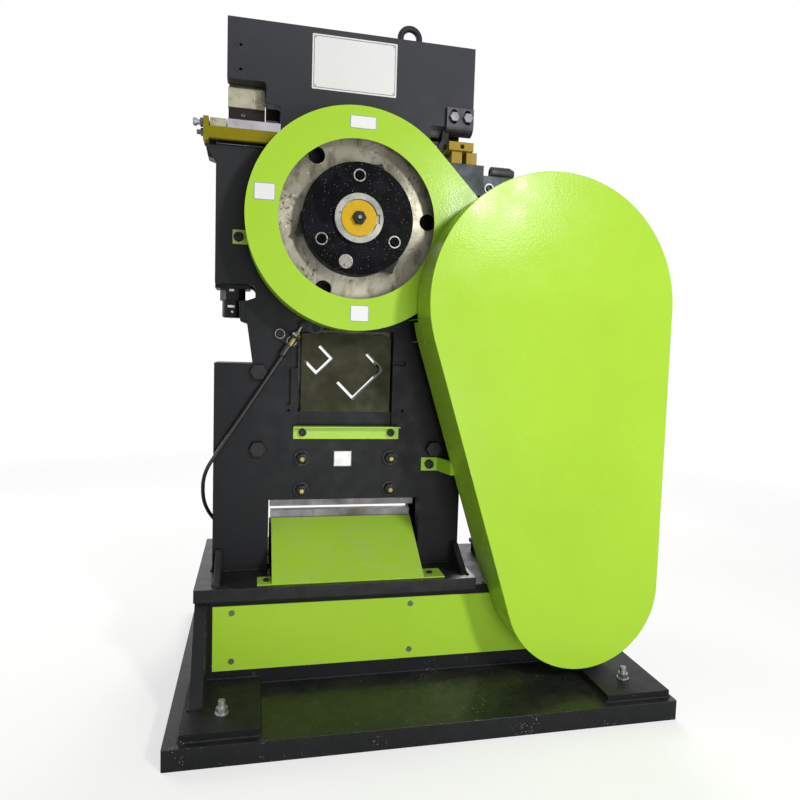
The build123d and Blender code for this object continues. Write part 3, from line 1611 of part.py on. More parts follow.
lug_at = ferrule_length - 18.0
with BuildPart() as clutch_bracket:
    with BuildSketch(facing(-plate_outer)):
        add(hull(*bracket_spots[0], 15.0, *bracket_spots[1], 14.9))
        with Locations(*bracket_spots):
            Circle(bracket_screw / 2 + 0.3, mode=Mode.SUBTRACT)
    extrude(amount=bracket_thickness)
    with BuildSketch(on_cable(lug_at)):
        with Locations(((-plate_outer - cable_y) / 2 - 7, 0)):
            Rectangle(-plate_outer - cable_y + 14, 26)
        Circle(8.05, mode=Mode.SUBTRACT)
    extrude(amount=6)
    add(ring(pivot_x, pivot_z, -plate_outer, collar_back - lever_thickness - 2, pivot_radius))
clutch_bracket.part.label = "clutch_bracket"
export_step(clutch_bracket.part, "parts/clutch_bracket.step")

nose_x, nose_z = around_gear(93.5, nose_angle)
lever_front = collar_back - lever_thickness
with BuildPart() as clutch_lever:
    with BuildSketch(facing(collar_back)):
        add(hull(pivot_x, pivot_z, 18.0, nose_x, nose_z, 7.0))
        add(hull(pivot_x, pivot_z, 18.0, wire_x, wire_z, 10.0))
        with Locations((pivot_x, pivot_z)):
            Circle(pivot_radius + running_clearance, mode=Mode.SUBTRACT)
    extrude(amount=lever_thickness)
    add(ring(wire_x, wire_z, lever_front, cable_y - 6, 6))
clutch_lever.part.label = "clutch_lever"
export_step(clutch_lever.part, "parts/clutch_lever.step")

cable_points = [
    (cable_start[0], cable_y, cable_start[1]),
    (cable_start[0] - 209.5, cable_y, cable_start[1] - 209.5 * cable_slope),
    (frame_left - 27, cable_y + 33, tunnel_roof + 4),
    (frame_left - 9, -20, tunnel_roof - 58),
    (cable_drop_x, 0, tunnel_roof - 122),
    (cable_drop_x, 0, base_roof - 24),
]


def bend_radii(points):
    """Bend radii that use 0.45 of the shorter run beside each corner."""
    radii = []
    for before, corner, after in zip(points, points[1:], points[2:]):
        first = Vector(*corner) - Vector(*before)
        second = Vector(*after) - Vector(*corner)
        half_turn = radians(first.get_angle(second)) / 2
        radii.append(0.45 * min(first.length, second.length) / tan(half_turn))
    return radii


with BuildPart() as clutch_cable:
    with BuildLine() as route:
        FilletPolyline(*cable_points, radius=bend_radii(cable_points))
    with BuildSketch(Plane(origin=route.line @ 0, z_dir=route.line % 0)):
        Circle(cable_radius)
    sweep()
clutch_cable.part.label = "clutch_cable"
export_step(clutch_cable.part, "parts/clutch_cable.step")

wire_radius = 2.0
with BuildPart() as cable_ferrules:
    with BuildSketch(on_cable(-14)):
        Circle(8)
        Circle(cable_radius + running_clearance, mode=Mode.SUBTRACT)
    extrude(amount=14)
    with BuildSketch(on_cable(0)):
        Circle(8)
    extrude(amount=ferrule_length)
    with BuildSketch(on_cable(lug_at + 6)):
        RegularPolygon(radius=12.5, side_count=6)
    extrude(amount=8)
    with BuildSketch(on_cable(ferrule_length)):
        Circle(wire_radius)
    extrude(amount=10)
    with BuildSketch(Plane.XY.offset(base_roof - base_wall)):
        with Locations((cable_drop_x, 0)):
            RegularPolygon(radius=13, side_count=6)
            Circle(cable_radius + running_clearance, mode=Mode.SUBTRACT)
    extrude(amount=-12)
    with BuildSketch(Plane.XY.offset(base_roof - base_wall - 12)):
        with Locations((cable_drop_x, 0)):
            Circle(8)
    extrude(amount=-6)
    with BuildSketch(Plane.XY.offset(base_roof - base_wall - 18)):
        with Locations((cable_drop_x, 0)):
            Circle(wire_radius)
    extrude(amount=-(base_roof - base_wall - 18 - pedal_z - 10.5))
cable_ferrules.part.label = "cable_ferrules"
export_step(cable_ferrules.part, "parts/cable_ferrules.step")

# Foot pedal on the operator's side, pulling the cable down inside the base
pedal_left = cable_drop_x - 40.0
pedal_right = cable_drop_x + 98.0
with BuildPart() as foot_pedal:
    with BuildSketch(Plane.YZ.offset(pedal_left)):
        with Locations((pedal_y, pedal_z)):
            Circle(pedal_rod_radius)
    extrude(amount=pedal_right - pedal_left)
    add(block(cable_drop_x - 8, cable_drop_x + 8, 12, pedal_y, pedal_z - 10, pedal_z + 10))
    add(block(pedal_x - 10, pedal_x + 10, base_half + 200, pedal_y, pedal_z - 10, pedal_z + 10))
    add(
        block(
            pedal_x - 55,
            pedal_x + 55,
            base_half + 210,
            base_half + 110,
            pedal_z + 10,
            pedal_z + 16,
        )
    )
foot_pedal.part.label = "foot_pedal"
export_step(foot_pedal.part, "parts/foot_pedal.step")
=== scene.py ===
"""Finishes, small parts and stage for a mechanical punching and shearing machine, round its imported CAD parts."""

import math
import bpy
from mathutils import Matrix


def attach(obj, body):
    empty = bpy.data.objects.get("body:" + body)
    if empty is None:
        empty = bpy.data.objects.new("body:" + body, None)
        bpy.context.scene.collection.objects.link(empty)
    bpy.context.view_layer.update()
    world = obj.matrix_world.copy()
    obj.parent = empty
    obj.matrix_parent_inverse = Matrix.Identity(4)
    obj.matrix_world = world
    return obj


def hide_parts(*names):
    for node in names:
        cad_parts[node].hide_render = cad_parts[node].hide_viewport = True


bl_info = {
    "name": "Punching and shearing machine",
    "version": (1, 0, 0),
    "blender": (4, 5, 0),
    "location": "3D View > Sidebar > Machine",
    "description": "Dresses a mechanical punching and shearing machine with its finishes and small parts",
    "category": "Object",
}

import bmesh
import bpy
from mathutils import Matrix, Vector

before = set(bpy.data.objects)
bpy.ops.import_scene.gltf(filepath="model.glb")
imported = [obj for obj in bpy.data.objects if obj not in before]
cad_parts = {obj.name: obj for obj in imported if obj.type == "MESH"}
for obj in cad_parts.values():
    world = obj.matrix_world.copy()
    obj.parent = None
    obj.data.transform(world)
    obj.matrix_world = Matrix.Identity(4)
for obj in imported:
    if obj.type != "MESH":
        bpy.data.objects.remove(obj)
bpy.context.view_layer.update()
MM = 0.001

# Places on the machine, in millimetres
GEAR_AXIS = (-193.5, 0.0, 1260.0)
GUARD_FACE = -200.0
PLATE_FACE = -85.0
COVER_FACE = PLATE_FACE - 2.5
CABLE_PLATE_FACE = PLATE_FACE - 6.0
BELT_GUARD_FACE = -334.0
BELT_GUARD_ENDS = ((298.93, 1056.05, 331.0), (415.5, 311.3, 216.5))
GUARD_SEAMS = (1010.0, 826.0, 330.0)
SEAT_SPOTS = [(x, z) for x in (-316.5, -69.5) for z in (540, 628)]
ANCHOR_SPOTS = [(x, y, 82) for x in (-509.5, 534.5) for y in (-351.36, 351.36)]
CABLE_PIN = Vector((-322.0, -110.0, 990.0))
CABLE_LINE = Vector((0.53986, 0.0, 0.84176))
FAN_CENTRE = (400.0, 168.0, 436.0)

# The way that screw heads stand out from the drive side
OUT = (0, -1, 0)

# The disc's three sleeved screws: their circle and the screws' own radius, in millimetres, and their angles
DISC_SCREW_CIRCLE = 108
DISC_SCREW_RADIUS = 12.2
DISC_SCREW_ANGLES = (90, 211, 331)

# The camera, in metres, degrees (yaw, pitch, roll) and pixels
CAMERA_PLACE = (-0.4388, -1.8628, 0.9254)
CAMERA_TURN = (12.502, -4.204, 1.756)
FOCAL_LENGTH = 646.76
FRAME_WIDTH = 800

# The floor glows for the eye alone, so that it is as pale as the background, and fades out between a distance in
# metres and a share of its radius.
FLOOR_GLOW = 0.56
FLOOR_FADE_START = 1.6
FLOOR_FADE_END = 0.72

LAMPS = (
    # name, place, height it is turned to, setting of its power, share of that power, size
    ("key_lamp", (1.06, -2.81, 1.98), 0.95, "key_power", 1.0, 0.3),
    ("low_lamp", (0.3, -3.1, 0.3), 0.7, "low_power", 1.0, 1.2),
    ("fill_lamp", (-2.7, 1.7, 2.0), 0.9, "fill_power", 1.0, 1.6),
    ("back_lamp", (1.2, 3.2, 2.6), 0.9, "fill_power", 1.8, 1.6),
)


def linear(colour):
    """The linear colour that an sRGB hex value stands for; a colour from the settings is linear already."""
    if not isinstance(colour, str):
        return tuple(colour)[:3]
    values = [int(colour[place : place + 2], 16) / 255 for place in (1, 3, 5)]
    return tuple(v / 12.92 if v <= 0.04045 else ((v + 0.055) / 1.055) ** 2.4 for v in values)


def tint(colour, factor, lift=0.0, top=math.inf):
    """A colour made lighter or darker, in linear values."""
    return [min(value * factor + lift, top) for value in linear(colour)]


def metres(point):
    """A point given in millimetres, in metres."""
    return Vector(point) * MM


def colour_setting(name, description, value):
    """A colour that a user may change, from an sRGB hex value."""
    return bpy.props.FloatVectorProperty(name=name, description=description, subtype="COLOR", default=linear(value))


def number_setting(name, description, value, unit="LENGTH"):
    """A number that a user may change, a length in metres unless another unit is given."""
    return bpy.props.FloatProperty(name=name, description=description, unit=unit, default=value)


class FinishSettings(bpy.types.PropertyGroup):
    """Colours of the machine's finishes."""

    guard_lime: colour_setting("Guard lime", "Powder coat of the guards and covers", "#ADD83C")
    frame_grey: colour_setting("Frame grey", "Enamel of the plates, the base and the pallet", "#1C1D1F")
    table_ochre: colour_setting("Table ochre", "Enamel of the bar table's angle and the pedal", "#867A0E")
    cap_orange: colour_setting("Cap orange", "Enamel of the cap on the eccentric shaft", "#CFA717")
    motor_blue: colour_setting("Motor blue grey", "Enamel of the motor", "#414B55")


class HardwareSettings(bpy.types.PropertyGroup):
    """Sizes of the small parts."""

    weld_width: number_setting("Weld width", "Width of a weld bead", 0.009)
    weld_ripple: number_setting("Weld ripple", "Distance from one ripple to the next", 0.006)
    thread_pitch: number_setting("Thread pitch", "Pitch of the threads on the stud ends", 0.0022)
    plate_thickness: number_setting("Plate thickness", "Thickness of the blank plates", 0.0008)
    grille_pitch: number_setting("Grille pitch", "Distance between the fan grille's wire rings", 0.011)


class StageSettings(bpy.types.PropertyGroup):
    """Lamps and floor."""

    key_power: number_setting("Key lamp", "Power of the main lamp", 44.5, "POWER")
    fill_power: number_setting("Fill lamp", "Power of the fill lamp", 34.0, "POWER")
    low_power: number_setting("Low lamp", "Power of the lamp near the floor", 35.0, "POWER")
    world_light: number_setting("World light", "Strength of the light from all round", 0.25, "NONE")
    floor_radius: number_setting("Floor radius", "Radius of the floor", 6.0)


# What the materials share. Sizes of patterns are in metres.


def add(tree, kind, inputs=(), output=0, **settings):
    """One node with its settings and inputs, which are values or other nodes' sockets.

    Inputs come in order or by name, and None leaves one alone. It gives the wanted output, or all of them for None.
    """
    node = tree.nodes.new(kind)
    for name, value in settings.items():
        setattr(node, name, value)
    for name, value in inputs.items() if isinstance(inputs, dict) else enumerate(inputs):
        socket = node.inputs[name]
        if isinstance(value, bpy.types.NodeSocket):
            tree.links.new(value, socket)
        elif socket.type == "RGBA":
            socket.default_value = (*linear(value), 1.0)
        elif value is not None:
            socket.default_value = value
    return node.outputs if output is None else node.outputs[output]


def emptied(owner):
    """The node tree of a material or world, with no nodes."""
    owner.use_nodes = True
    owner.node_tree.nodes.clear()
    return owner.node_tree


def start_material(name):
    """A new material, its tree and the object coordinates in it."""
    material = bpy.data.materials.new(name)
    tree = emptied(material)
    return material, tree, add(tree, "ShaderNodeTexCoord", output="Object")


def end_material(material, tree, base, rough, reliefs, normal=None, sockets=None):
    """Ends a material: its reliefs, each a height and a depth, over a normal, then the shader with its sockets."""
    for height, depth in reliefs:
        normal = add(tree, "ShaderNodeBump", {"Height": height, "Distance": depth, "Normal": normal})
    sockets = {"Base Color": base, "Roughness": rough, "Normal": normal} | (sockets or {})
    shader = add(tree, "ShaderNodeBsdfPrincipled", sockets)
    add(tree, "ShaderNodeOutputMaterial", (shader,), None)
    return material


def coats(tree, base, *layers):
    """Colours over a base, each with the masks and shares whose product says how much of it shows."""
    for colour, share, *others in layers:
        for other in others:
            share = add(tree, "ShaderNodeMath", (share, other), operation="MULTIPLY")
        base = add(tree, "ShaderNodeMix", {0: share, 6: base, 7: colour}, 2, data_type="RGBA")
    return base


def cloud(tree, place, size, low, high, detail=3.0, stretch=None, to=(0.0, 1.0)):
    """Soft blotches of a size: noise from low to high, carried over to a range."""
    if stretch:
        place = add(tree, "ShaderNodeMapping", {"Vector": place, "Scale": stretch})
    noise = add(tree, "ShaderNodeTexNoise", {"Vector": place, "Scale": 1 / size, "Detail": detail})
    return add(tree, "ShaderNodeMapRange", (noise, low, high, *to))


def specks(tree, place, size, share, seed=0.0):
    """Small round specks of a size, on a share of the cells."""
    moved = add(tree, "ShaderNodeMapping", {"Vector": place, "Location": (seed, seed, seed)})
    cells = add(tree, "ShaderNodeTexVoronoi", {"Vector": moved, "Scale": 0.5 / size}, None)
    dot = add(tree, "ShaderNodeMapRange", (cells["Distance"], 0.22, 0.3, 1.0, 0.0))
    chance = add(tree, "ShaderNodeSeparateColor", (cells["Color"],))
    chosen = add(tree, "ShaderNodeMapRange", (chance, 1 - share, 1 - share + 0.01))
    return add(tree, "ShaderNodeMath", (dot, chosen), operation="MULTIPLY")


def edges(tree, radius):
    """The surface's direction with its edges rounded, and a mask of those edges."""
    rounded = add(tree, "ShaderNodeBevel", (radius,), samples=4)
    flat = add(tree, "ShaderNodeNewGeometry", output="Normal")
    match = add(tree, "ShaderNodeVectorMath", (rounded, flat), "Value", operation="DOT_PRODUCT")
    return rounded, add(tree, "ShaderNodeMapRange", (match, 0.99, 0.86))


def facing(tree, axis, low, high, both_ways=False):
    """How far the surface faces along an axis (0, 1 or 2), from 0 at a low cosine to 1 at a high one."""
    normal = add(tree, "ShaderNodeNewGeometry", output="Normal")
    cosine = add(tree, "ShaderNodeSeparateXYZ", (normal,), axis)
    if both_ways:
        cosine = add(tree, "ShaderNodeMath", (cosine,), operation="ABSOLUTE")
    return add(tree, "ShaderNodeMapRange", (cosine, low, high))


def from_axis(tree, place, centre):
    """Distance from an axis along y through a point in millimetres."""
    moved = add(tree, "ShaderNodeVectorMath", (place, metres(centre)), operation="SUBTRACT")
    flat = add(tree, "ShaderNodeVectorMath", (moved, (1, 0, 1)), operation="MULTIPLY")
    return add(tree, "ShaderNodeVectorMath", (flat,), "Value", operation="LENGTH")


def grooves(tree, place, centre, width, detail):
    """Uneven grooves round an axis along y, as a lathe leaves them."""
    turns = add(tree, "ShaderNodeMath", (from_axis(tree, place, centre), 1 / width), operation="MULTIPLY")
    return add(tree, "ShaderNodeTexNoise", {"W": turns, "Scale": 1.0, "Detail": detail}, noise_dimensions="1D")


# Paints


def powder_coat(
    name, colour, wear_colour, roughness=0.22, peel=0.0042, peel_depth=0.00022, wave=0.25, wave_depth=0.0012
):
    """Electrostatic powder coat on sheet: even colour, orange peel a few millimetres wide, edges rubbed bright."""
    material, tree, place = start_material(name)
    rounded, edge = edges(tree, 0.0012)
    strokes = cloud(tree, place, 0.02, 0.68, 0.72, 4.0, (0.12, 1.0, 1.6))
    base = coats(
        tree,
        tint(colour, 0.95),
        (tint(colour, 1.03), cloud(tree, place, 0.35, 0.3, 0.7)),
        (wear_colour, edge, cloud(tree, place, 0.012, 0.56, 0.66, 6.0), 0.55),
        (wear_colour, strokes, cloud(tree, place, 0.16, 0.56, 0.7), 0.35),
        ("#B9B8A6", facing(tree, 2, 0.2, 0.95), cloud(tree, place, 0.05, 0.35, 0.75, 6.0), 0.22),
    )
    skin = add(tree, "ShaderNodeTexNoise", {"Vector": place, "Scale": 1 / peel, "Detail": 1.0})
    warp = add(tree, "ShaderNodeTexNoise", {"Vector": place, "Scale": 1 / wave, "Detail": 1.0})
    rough = cloud(tree, place, 0.06, 0.3, 0.7, to=(roughness - 0.04, roughness + 0.07))
    sockets = {"IOR": 1.5, "Specular IOR Level": 0.16}
    return end_material(material, tree, base, rough, ((skin, peel_depth), (warp, wave_depth)), rounded, sockets)


def machine_enamel(
    name, colour, roughness=0.42, cut=0.0, spatter=0.0, wear=0.5, shine=0.13, painted_sheen=0.0, grain=1 / 260, depth=0.00009
):
    """Sprayed two-pack enamel on plate: satin, mottled by overspray, chipped to primer on edges, dusty on top.

    Flame-cut edges show drag lines of a depth in metres, the floor's spatter dots it low down, and a painted sheen
    lightens the upright faces high up, where the lamp's highlight falls.
    """
    material, tree, place = start_material(name)
    rounded, edge = edges(tree, 0.0022)
    height = add(tree, "ShaderNodeSeparateXYZ", (place,), 2)
    base = coats(
        tree,
        tint(colour, 0.86),
        (tint(colour, 1.14), cloud(tree, place, 0.5, 0.3, 0.7)),
        (tint(colour, 1.7), cloud(tree, place, 0.011, 0.3, 0.75, 8.0), 0.18),
    )
    # Painted sheen: the upright faces high up are lightened towards the lamp's highlight.
    if painted_sheen:
        high = add(tree, "ShaderNodeMapRange", (height, 1.15, 1.75))
        sheen_patches = cloud(tree, place, 0.3, 0.25, 0.7, to=(0.6, 1.0))
        base = coats(tree, base, ("#4A4B50", high, sheen_patches, facing(tree, 1, 0.7, 0.95, True), painted_sheen))
    scuff = cloud(tree, place, 0.03, 0.71, 0.75, 5.0, (0.2, 1.0, 1.0))
    base = coats(
        tree,
        base,
        ("#8E8F90", edge, cloud(tree, place, 0.009, 0.6, 0.64, 6.0), wear),
        ("#5C5B55", facing(tree, 2, 0.2, 0.95), cloud(tree, place, 0.06, 0.35, 0.8, 8.0), 0.2),
        ("#6A6C6E", scuff, cloud(tree, place, 0.25, 0.5, 0.7), 0.3),
        ("#A6A6A2", specks(tree, place, 0.0011, 0.006), 0.6),
    )
    if spatter:
        drops = specks(tree, place, 0.0015, 0.14, 3.7)
        low = add(tree, "ShaderNodeMapRange", (height, 0.14, 0.06))
        base = coats(tree, base, ("#D6D6D2", drops, low, cloud(tree, place, 0.07, 0.58, 0.66), spatter))
    reliefs = [(add(tree, "ShaderNodeTexNoise", {"Vector": place, "Scale": 1 / grain, "Detail": 3.0}), depth)]
    if cut:
        drag = cloud(tree, place, 0.004, 0.3, 0.7, 2.0, (1.0, 0.05, 1.0))
        side = facing(tree, 1, 0.9, 0.5, True)
        reliefs.append((add(tree, "ShaderNodeMath", (drag, side), operation="MULTIPLY"), cut))
    rough = cloud(tree, place, 0.04, 0.25, 0.75, 5.0, to=(roughness - 0.06, roughness + 0.12))
    sockets = {"IOR": 1.5, "Specular IOR Level": shine}
    return end_material(material, tree, base, rough, reliefs, rounded, sockets)


def plate_enamel(name, colour, roughness=0.22):
    """Glossy baked enamel or film on a thin plate, with faint handling marks."""
    material, tree, place = start_material(name)
    marks = cloud(tree, place, 0.02, 0.45, 0.75, 6.0)
    base = coats(tree, colour, (tint(colour, 0.72), marks, 0.18))
    rough = add(tree, "ShaderNodeMapRange", (marks, 0, 1, roughness, roughness + 0.2))
    return end_material(material, tree, base, rough, ((marks, 0.00002),), sockets={"IOR": 1.5})


# Metals. Tool marks are drawn a millimetre or more wide, because the real ones of a few tenths would not show.


def bare_steel(name, colour, stain, roughness=0.32, lines=None, centre=None, oil=0.5, grain=0.0012, depth=0.00003):
    """Machined steel: tool marks along lines or round a centre, brown oil film in blotches, bright edges."""
    material, tree, place = start_material(name)
    rounded, edge = edges(tree, 0.001)
    base = coats(
        tree,
        colour,
        (stain, cloud(tree, place, 0.07, 0.42, 0.68, 7.0), oil),
        (tint(stain, 0.45), cloud(tree, place, 0.012, 0.6, 0.72, 6.0), oil * 0.8),
        (tint(colour, 1.3), edge, 0.5),
    )
    if centre:
        marks = grooves(tree, place, centre, grain, 2.0)
    else:
        marks = cloud(tree, place, grain, 0.25, 0.75, 2.0, lines)
    rough = cloud(tree, place, 0.05, 0.3, 0.7, 6.0, to=(roughness - 0.07, roughness + 0.16))
    return end_material(material, tree, base, rough, ((marks, depth),), rounded, {"Metallic": 1.0})


def gear_face(name, groove=1 / 700):
    """Turned gear blank: lathe grooves that spread light outwards, oil runs, rust bloom and pale splashes."""
    material, tree, place = start_material(name)
    rounded, edge = edges(tree, 0.0012)
    base = coats(
        tree,
        "#8A8779",
        ("#69665A", cloud(tree, place, 0.10, 0.38, 0.7, 8.0), 0.8),
        ("#4B4638", cloud(tree, place, 0.03, 0.5, 0.7, 8.0, (1.2, 1.0, 0.55)), 0.75),
        ("#3A2A1C", cloud(tree, place, 0.008, 0.52, 0.64, 9.0), cloud(tree, place, 0.09, 0.5, 0.62), 0.8),
        ("#1B1712", specks(tree, place, 0.0016, 0.05, 5.1), cloud(tree, place, 0.11, 0.5, 0.6)),
        ("#C9C7BE", specks(tree, place, 0.003, 0.08), cloud(tree, place, 0.06, 0.5, 0.58), 0.8),
        ("#B9B7AE", edge, 0.6),
    )
    turned = grooves(tree, place, GEAR_AXIS, groove, 3.0)
    reliefs = ((turned, 0.00003), (cloud(tree, place, 0.02, 0.2, 0.8, 5.0), 0.0002))
    rough = cloud(tree, place, 0.08, 0.3, 0.7, 7.0, to=(0.3, 0.46))
    outward = add(tree, "ShaderNodeVectorMath", (place, metres(GEAR_AXIS)), operation="SUBTRACT")
    sockets = {"Metallic": 1.0, "Anisotropic": 0.85, "Tangent": outward}
    return end_material(material, tree, base, rough, reliefs, rounded, sockets)


def oiled_casting(
    name, colour, shine, roughness=0.3, grain=0.003, depth=0.0002, dust=0.03, metallic=0.0, gloss=0.25, bloom=None
):
    """Sand casting under oil: grain of a few millimetres, glossy where the oil pools, pale dust or bloom in it."""
    material, tree, place = start_material(name)
    rounded, edge = edges(tree, 0.002)
    base = coats(
        tree,
        colour,
        (shine, cloud(tree, place, 0.06, 0.35, 0.65, 6.0)),
        (tint(shine, 3, 0.02, 0.6), edge, 0.4),
        ("#A9A9AC", specks(tree, place, 0.0012, dust)),
        ("#6F6B60", specks(tree, place, 0.0028, dust * 0.4, 2.3)),
    )
    if bloom:
        pores = cloud(tree, place, 0.0026, 0.45, 0.62, 6.0)
        base = coats(tree, base, (bloom, cloud(tree, place, 0.05, 0.47, 0.6, 4.0), pores))
    skin = add(tree, "ShaderNodeTexNoise", {"Vector": place, "Scale": 1 / grain, "Detail": 4.0})
    rough = cloud(tree, place, 0.03, 0.3, 0.7, 6.0, to=(roughness - 0.1, roughness + 0.18))
    sockets = {"Metallic": metallic, "IOR": 1.5, "Specular IOR Level": gloss}
    return end_material(material, tree, base, rough, ((skin, depth),), rounded, sockets)


def disc_screw_finish(name, grain=0.002, depth=0.00008):
    """Black socket screws inside bright turned sleeves, told apart by the distance from the screws' centres."""
    material, tree, place = start_material(name)
    rounded = edges(tree, 0.001)[0]
    nearest = 1.0
    for angle in DISC_SCREW_ANGLES:
        x = GEAR_AXIS[0] + DISC_SCREW_CIRCLE * math.cos(math.radians(angle))
        z = GEAR_AXIS[2] + DISC_SCREW_CIRCLE * math.sin(math.radians(angle))
        nearest = add(tree, "ShaderNodeMath", (nearest, from_axis(tree, place, (x, 0, z))), operation="MINIMUM")
    screw = add(tree, "ShaderNodeMapRange", (nearest, (DISC_SCREW_RADIUS + 0.3) * MM, DISC_SCREW_RADIUS * MM))
    wear = cloud(tree, place, 0.008, 0.45, 0.62, 6.0)
    base = coats(tree, "#8F8D87", ("#4C4A45", wear), ("#0F0F10", screw))
    skin = add(tree, "ShaderNodeTexNoise", {"Vector": place, "Scale": 1 / grain, "Detail": 3.0})
    rough = add(tree, "ShaderNodeMapRange", (wear, 0, 1, 0.22, 0.45))
    return end_material(material, tree, base, rough, ((skin, depth),), rounded, {"Metallic": 1.0})


def tool_steel(name, colour, film_colour, roughness=0.4):
    """Hardened tool steel under preservative wax: an even olive brown film, with grinding lines showing through."""
    material, tree, place = start_material(name)
    rounded, edge = edges(tree, 0.0008)
    base = coats(
        tree,
        colour,
        (film_colour, cloud(tree, place, 0.11, 0.3, 0.7, 5.0)),
        (tint(film_colour, 0.55), cloud(tree, place, 0.015, 0.5, 0.75, 7.0, (1.0, 1.0, 0.3)), 0.4),
        ("#A39F8E", edge, 0.65),
    )
    ground = cloud(tree, place, 0.0012, 0.25, 0.75, 2.0, (0.05, 1.0, 1.0))
    rough = cloud(tree, place, 0.05, 0.3, 0.7, 5.0, to=(roughness - 0.08, roughness + 0.14))
    sockets = {"Metallic": 0.55, "Specular IOR Level": 0.2}
    return end_material(material, tree, base, rough, ((ground, 0.00003),), rounded, sockets)


# Rubber


def rubber(name, colour, roughness=0.62, grain=0.0015, depth=0.00012):
    """Black rubber or sheath: matt, with a fine grain and grey bloom."""
    material, tree, place = start_material(name)
    bloom = cloud(tree, place, 0.03, 0.4, 0.8, 6.0)
    base = coats(tree, colour, (tint(colour, 2.2, 0.01), bloom, 0.35))
    skin = add(tree, "ShaderNodeTexNoise", {"Vector": place, "Scale": 1 / grain, "Detail": 2.0})
    rough = add(tree, "ShaderNodeMapRange", (bloom, 0, 1, roughness - 0.12, roughness + 0.1))
    return end_material(material, tree, base, rough, ((skin, depth),), sockets={"IOR": 1.5})


def make_materials(finish):
    """Every material of the machine, by a short name of its finish."""
    grey, oil = finish.frame_grey, "#4E4636"
    along, upright = (0.04, 1, 1), (1, 1, 0.08)
    return {
        "lime": powder_coat("lime_powder_coat", finish.guard_lime, "#CBE08A"),
        "grey": machine_enamel("grey_machine_enamel", grey, spatter=0.9),
        # Oil has wet this coat, so it mirrors the guards.
        "gloss_grey": machine_enamel("glossy_base_enamel", grey, 0.26, spatter=0.9, shine=0.34),
        # Its upright faces carry a painted sheen high up.
        "cut_grey": machine_enamel("grey_enamel_with_painted_sheen_on_flame_cut_plate", grey, cut=0.0007, painted_sheen=0.75),
        "ochre": machine_enamel("ochre_enamel", finish.table_ochre, 0.3, wear=0.3),
        "gold": machine_enamel("gold_ochre_enamel", "#9E8420", 0.4, wear=0.6, shine=0.15),
        "orange": machine_enamel("orange_enamel", finish.cap_orange, 0.36, wear=0.2),
        "motor": machine_enamel("blue_grey_motor_enamel", finish.motor_blue, 0.34),
        "gear": gear_face("turned_gear_steel"),
        "turned": bare_steel("turned_shaft_steel", "#9B9992", oil, centre=GEAR_AXIS, oil=0.45),
        # A coarse feed left wide marks.
        "ring": bare_steel("coarse_turned_steel", "#7C7E77", "#504D45", 0.42, oil=0.6, grain=0.003, depth=0.0002),
        "milled": bare_steel("milled_steel", "#4A4E52", "#2B2823", 0.58, along),
        "greased": bare_steel("greased_milled_steel", "#5A574E", "#2E2A20", 0.46, along, oil=0.7),
        "ground": bare_steel("ground_bar_steel", "#A19DA4", "#6B6660", 0.42, (0.05, 1, 1), oil=0.3),
        "dark_steel": bare_steel("hot_rolled_dark_steel", "#2C2A28", "#211D1A", 0.5, grain=0.004, depth=0.0001),
        # Scratches run up and down through the scale.
        "scale": bare_steel(
            "scratched_mill_scale_steel", "#4F4E52", "#2C292C", 0.55, upright, grain=0.003, depth=0.00012
        ),
        "zinc": bare_steel("bright_zinc_plate", "#A9ABAD", "#6A6A64", 0.42, oil=0.45, grain=0.002),
        "dull_zinc": bare_steel("dull_zinc_plate", "#6E7072", "#3A3A38", 0.42, grain=0.002),
        "yellow_zinc": bare_steel("yellow_passivated_zinc", "#8F8452", "#55492A", 0.38, grain=0.002),
        "bronze": bare_steel("bearing_bronze", "#B5813F", "#5B3A18", 0.34, centre=GEAR_AXIS),
        "blade": tool_steel("waxed_tool_steel", "#26271A", "#1F1F0A"),
        "shear": tool_steel("hardened_shear_steel", "#8E8A93", "#4A463F"),
        # Grime sits in the pores of the primer.
        "cream": oiled_casting("yellowed_primer_on_casting", "#B9B698", "#C9C7AF", 0.5, gloss=0.3, bloom="#57553F"),
        # The oxide is thin and even, so its grain is fine and shallow.
        "black": oiled_casting("black_oxide_steel", "#101012", "#1C1C1F", 0.36, 0.0015, 0.00008, 0.006, 0.2),
        "disc": oiled_casting(
            "oil_blackened_casting", "#070708", "#0B0C0F", 0.36, dust=0.05, gloss=0.03, bloom="#25262D"
        ),
        "lug": oiled_casting("oiled_brown_forging", "#15130F", "#232018", dust=0.02, gloss=0.12),
        "iron": oiled_casting("grey_iron_casting", "#45464A", "#5A5B5E", 0.46, 0.004, 0.0003, 0.01, 0.5),
        "eye": oiled_casting("drop_forged_eye", "#1E1F22", "#36373B", 0.4, 0.004, 0.0003, 0.02, 0.3),
        "screws": disc_screw_finish("sleeved_disc_screws"),
        "belt": rubber("wrapped_belt_rubber", "#1A1A1B"),
        "sheath": rubber("extruded_cable_sheath", "#131315", 0.42, 0.004, 0.00004),
        # Flat black that stands for the shade inside holes and openings: painted shade.
        "painted_shade": rubber("painted_recess_shade", "#0B0B0C", 0.8),
        "white_plate": plate_enamel("white_plate_enamel", "#EFEFEE"),
        "print": plate_enamel("black_printed_line", "#202024", 0.35),
        "grey_print": plate_enamel("grey_printed_line", "#8F9298", 0.35),
    }


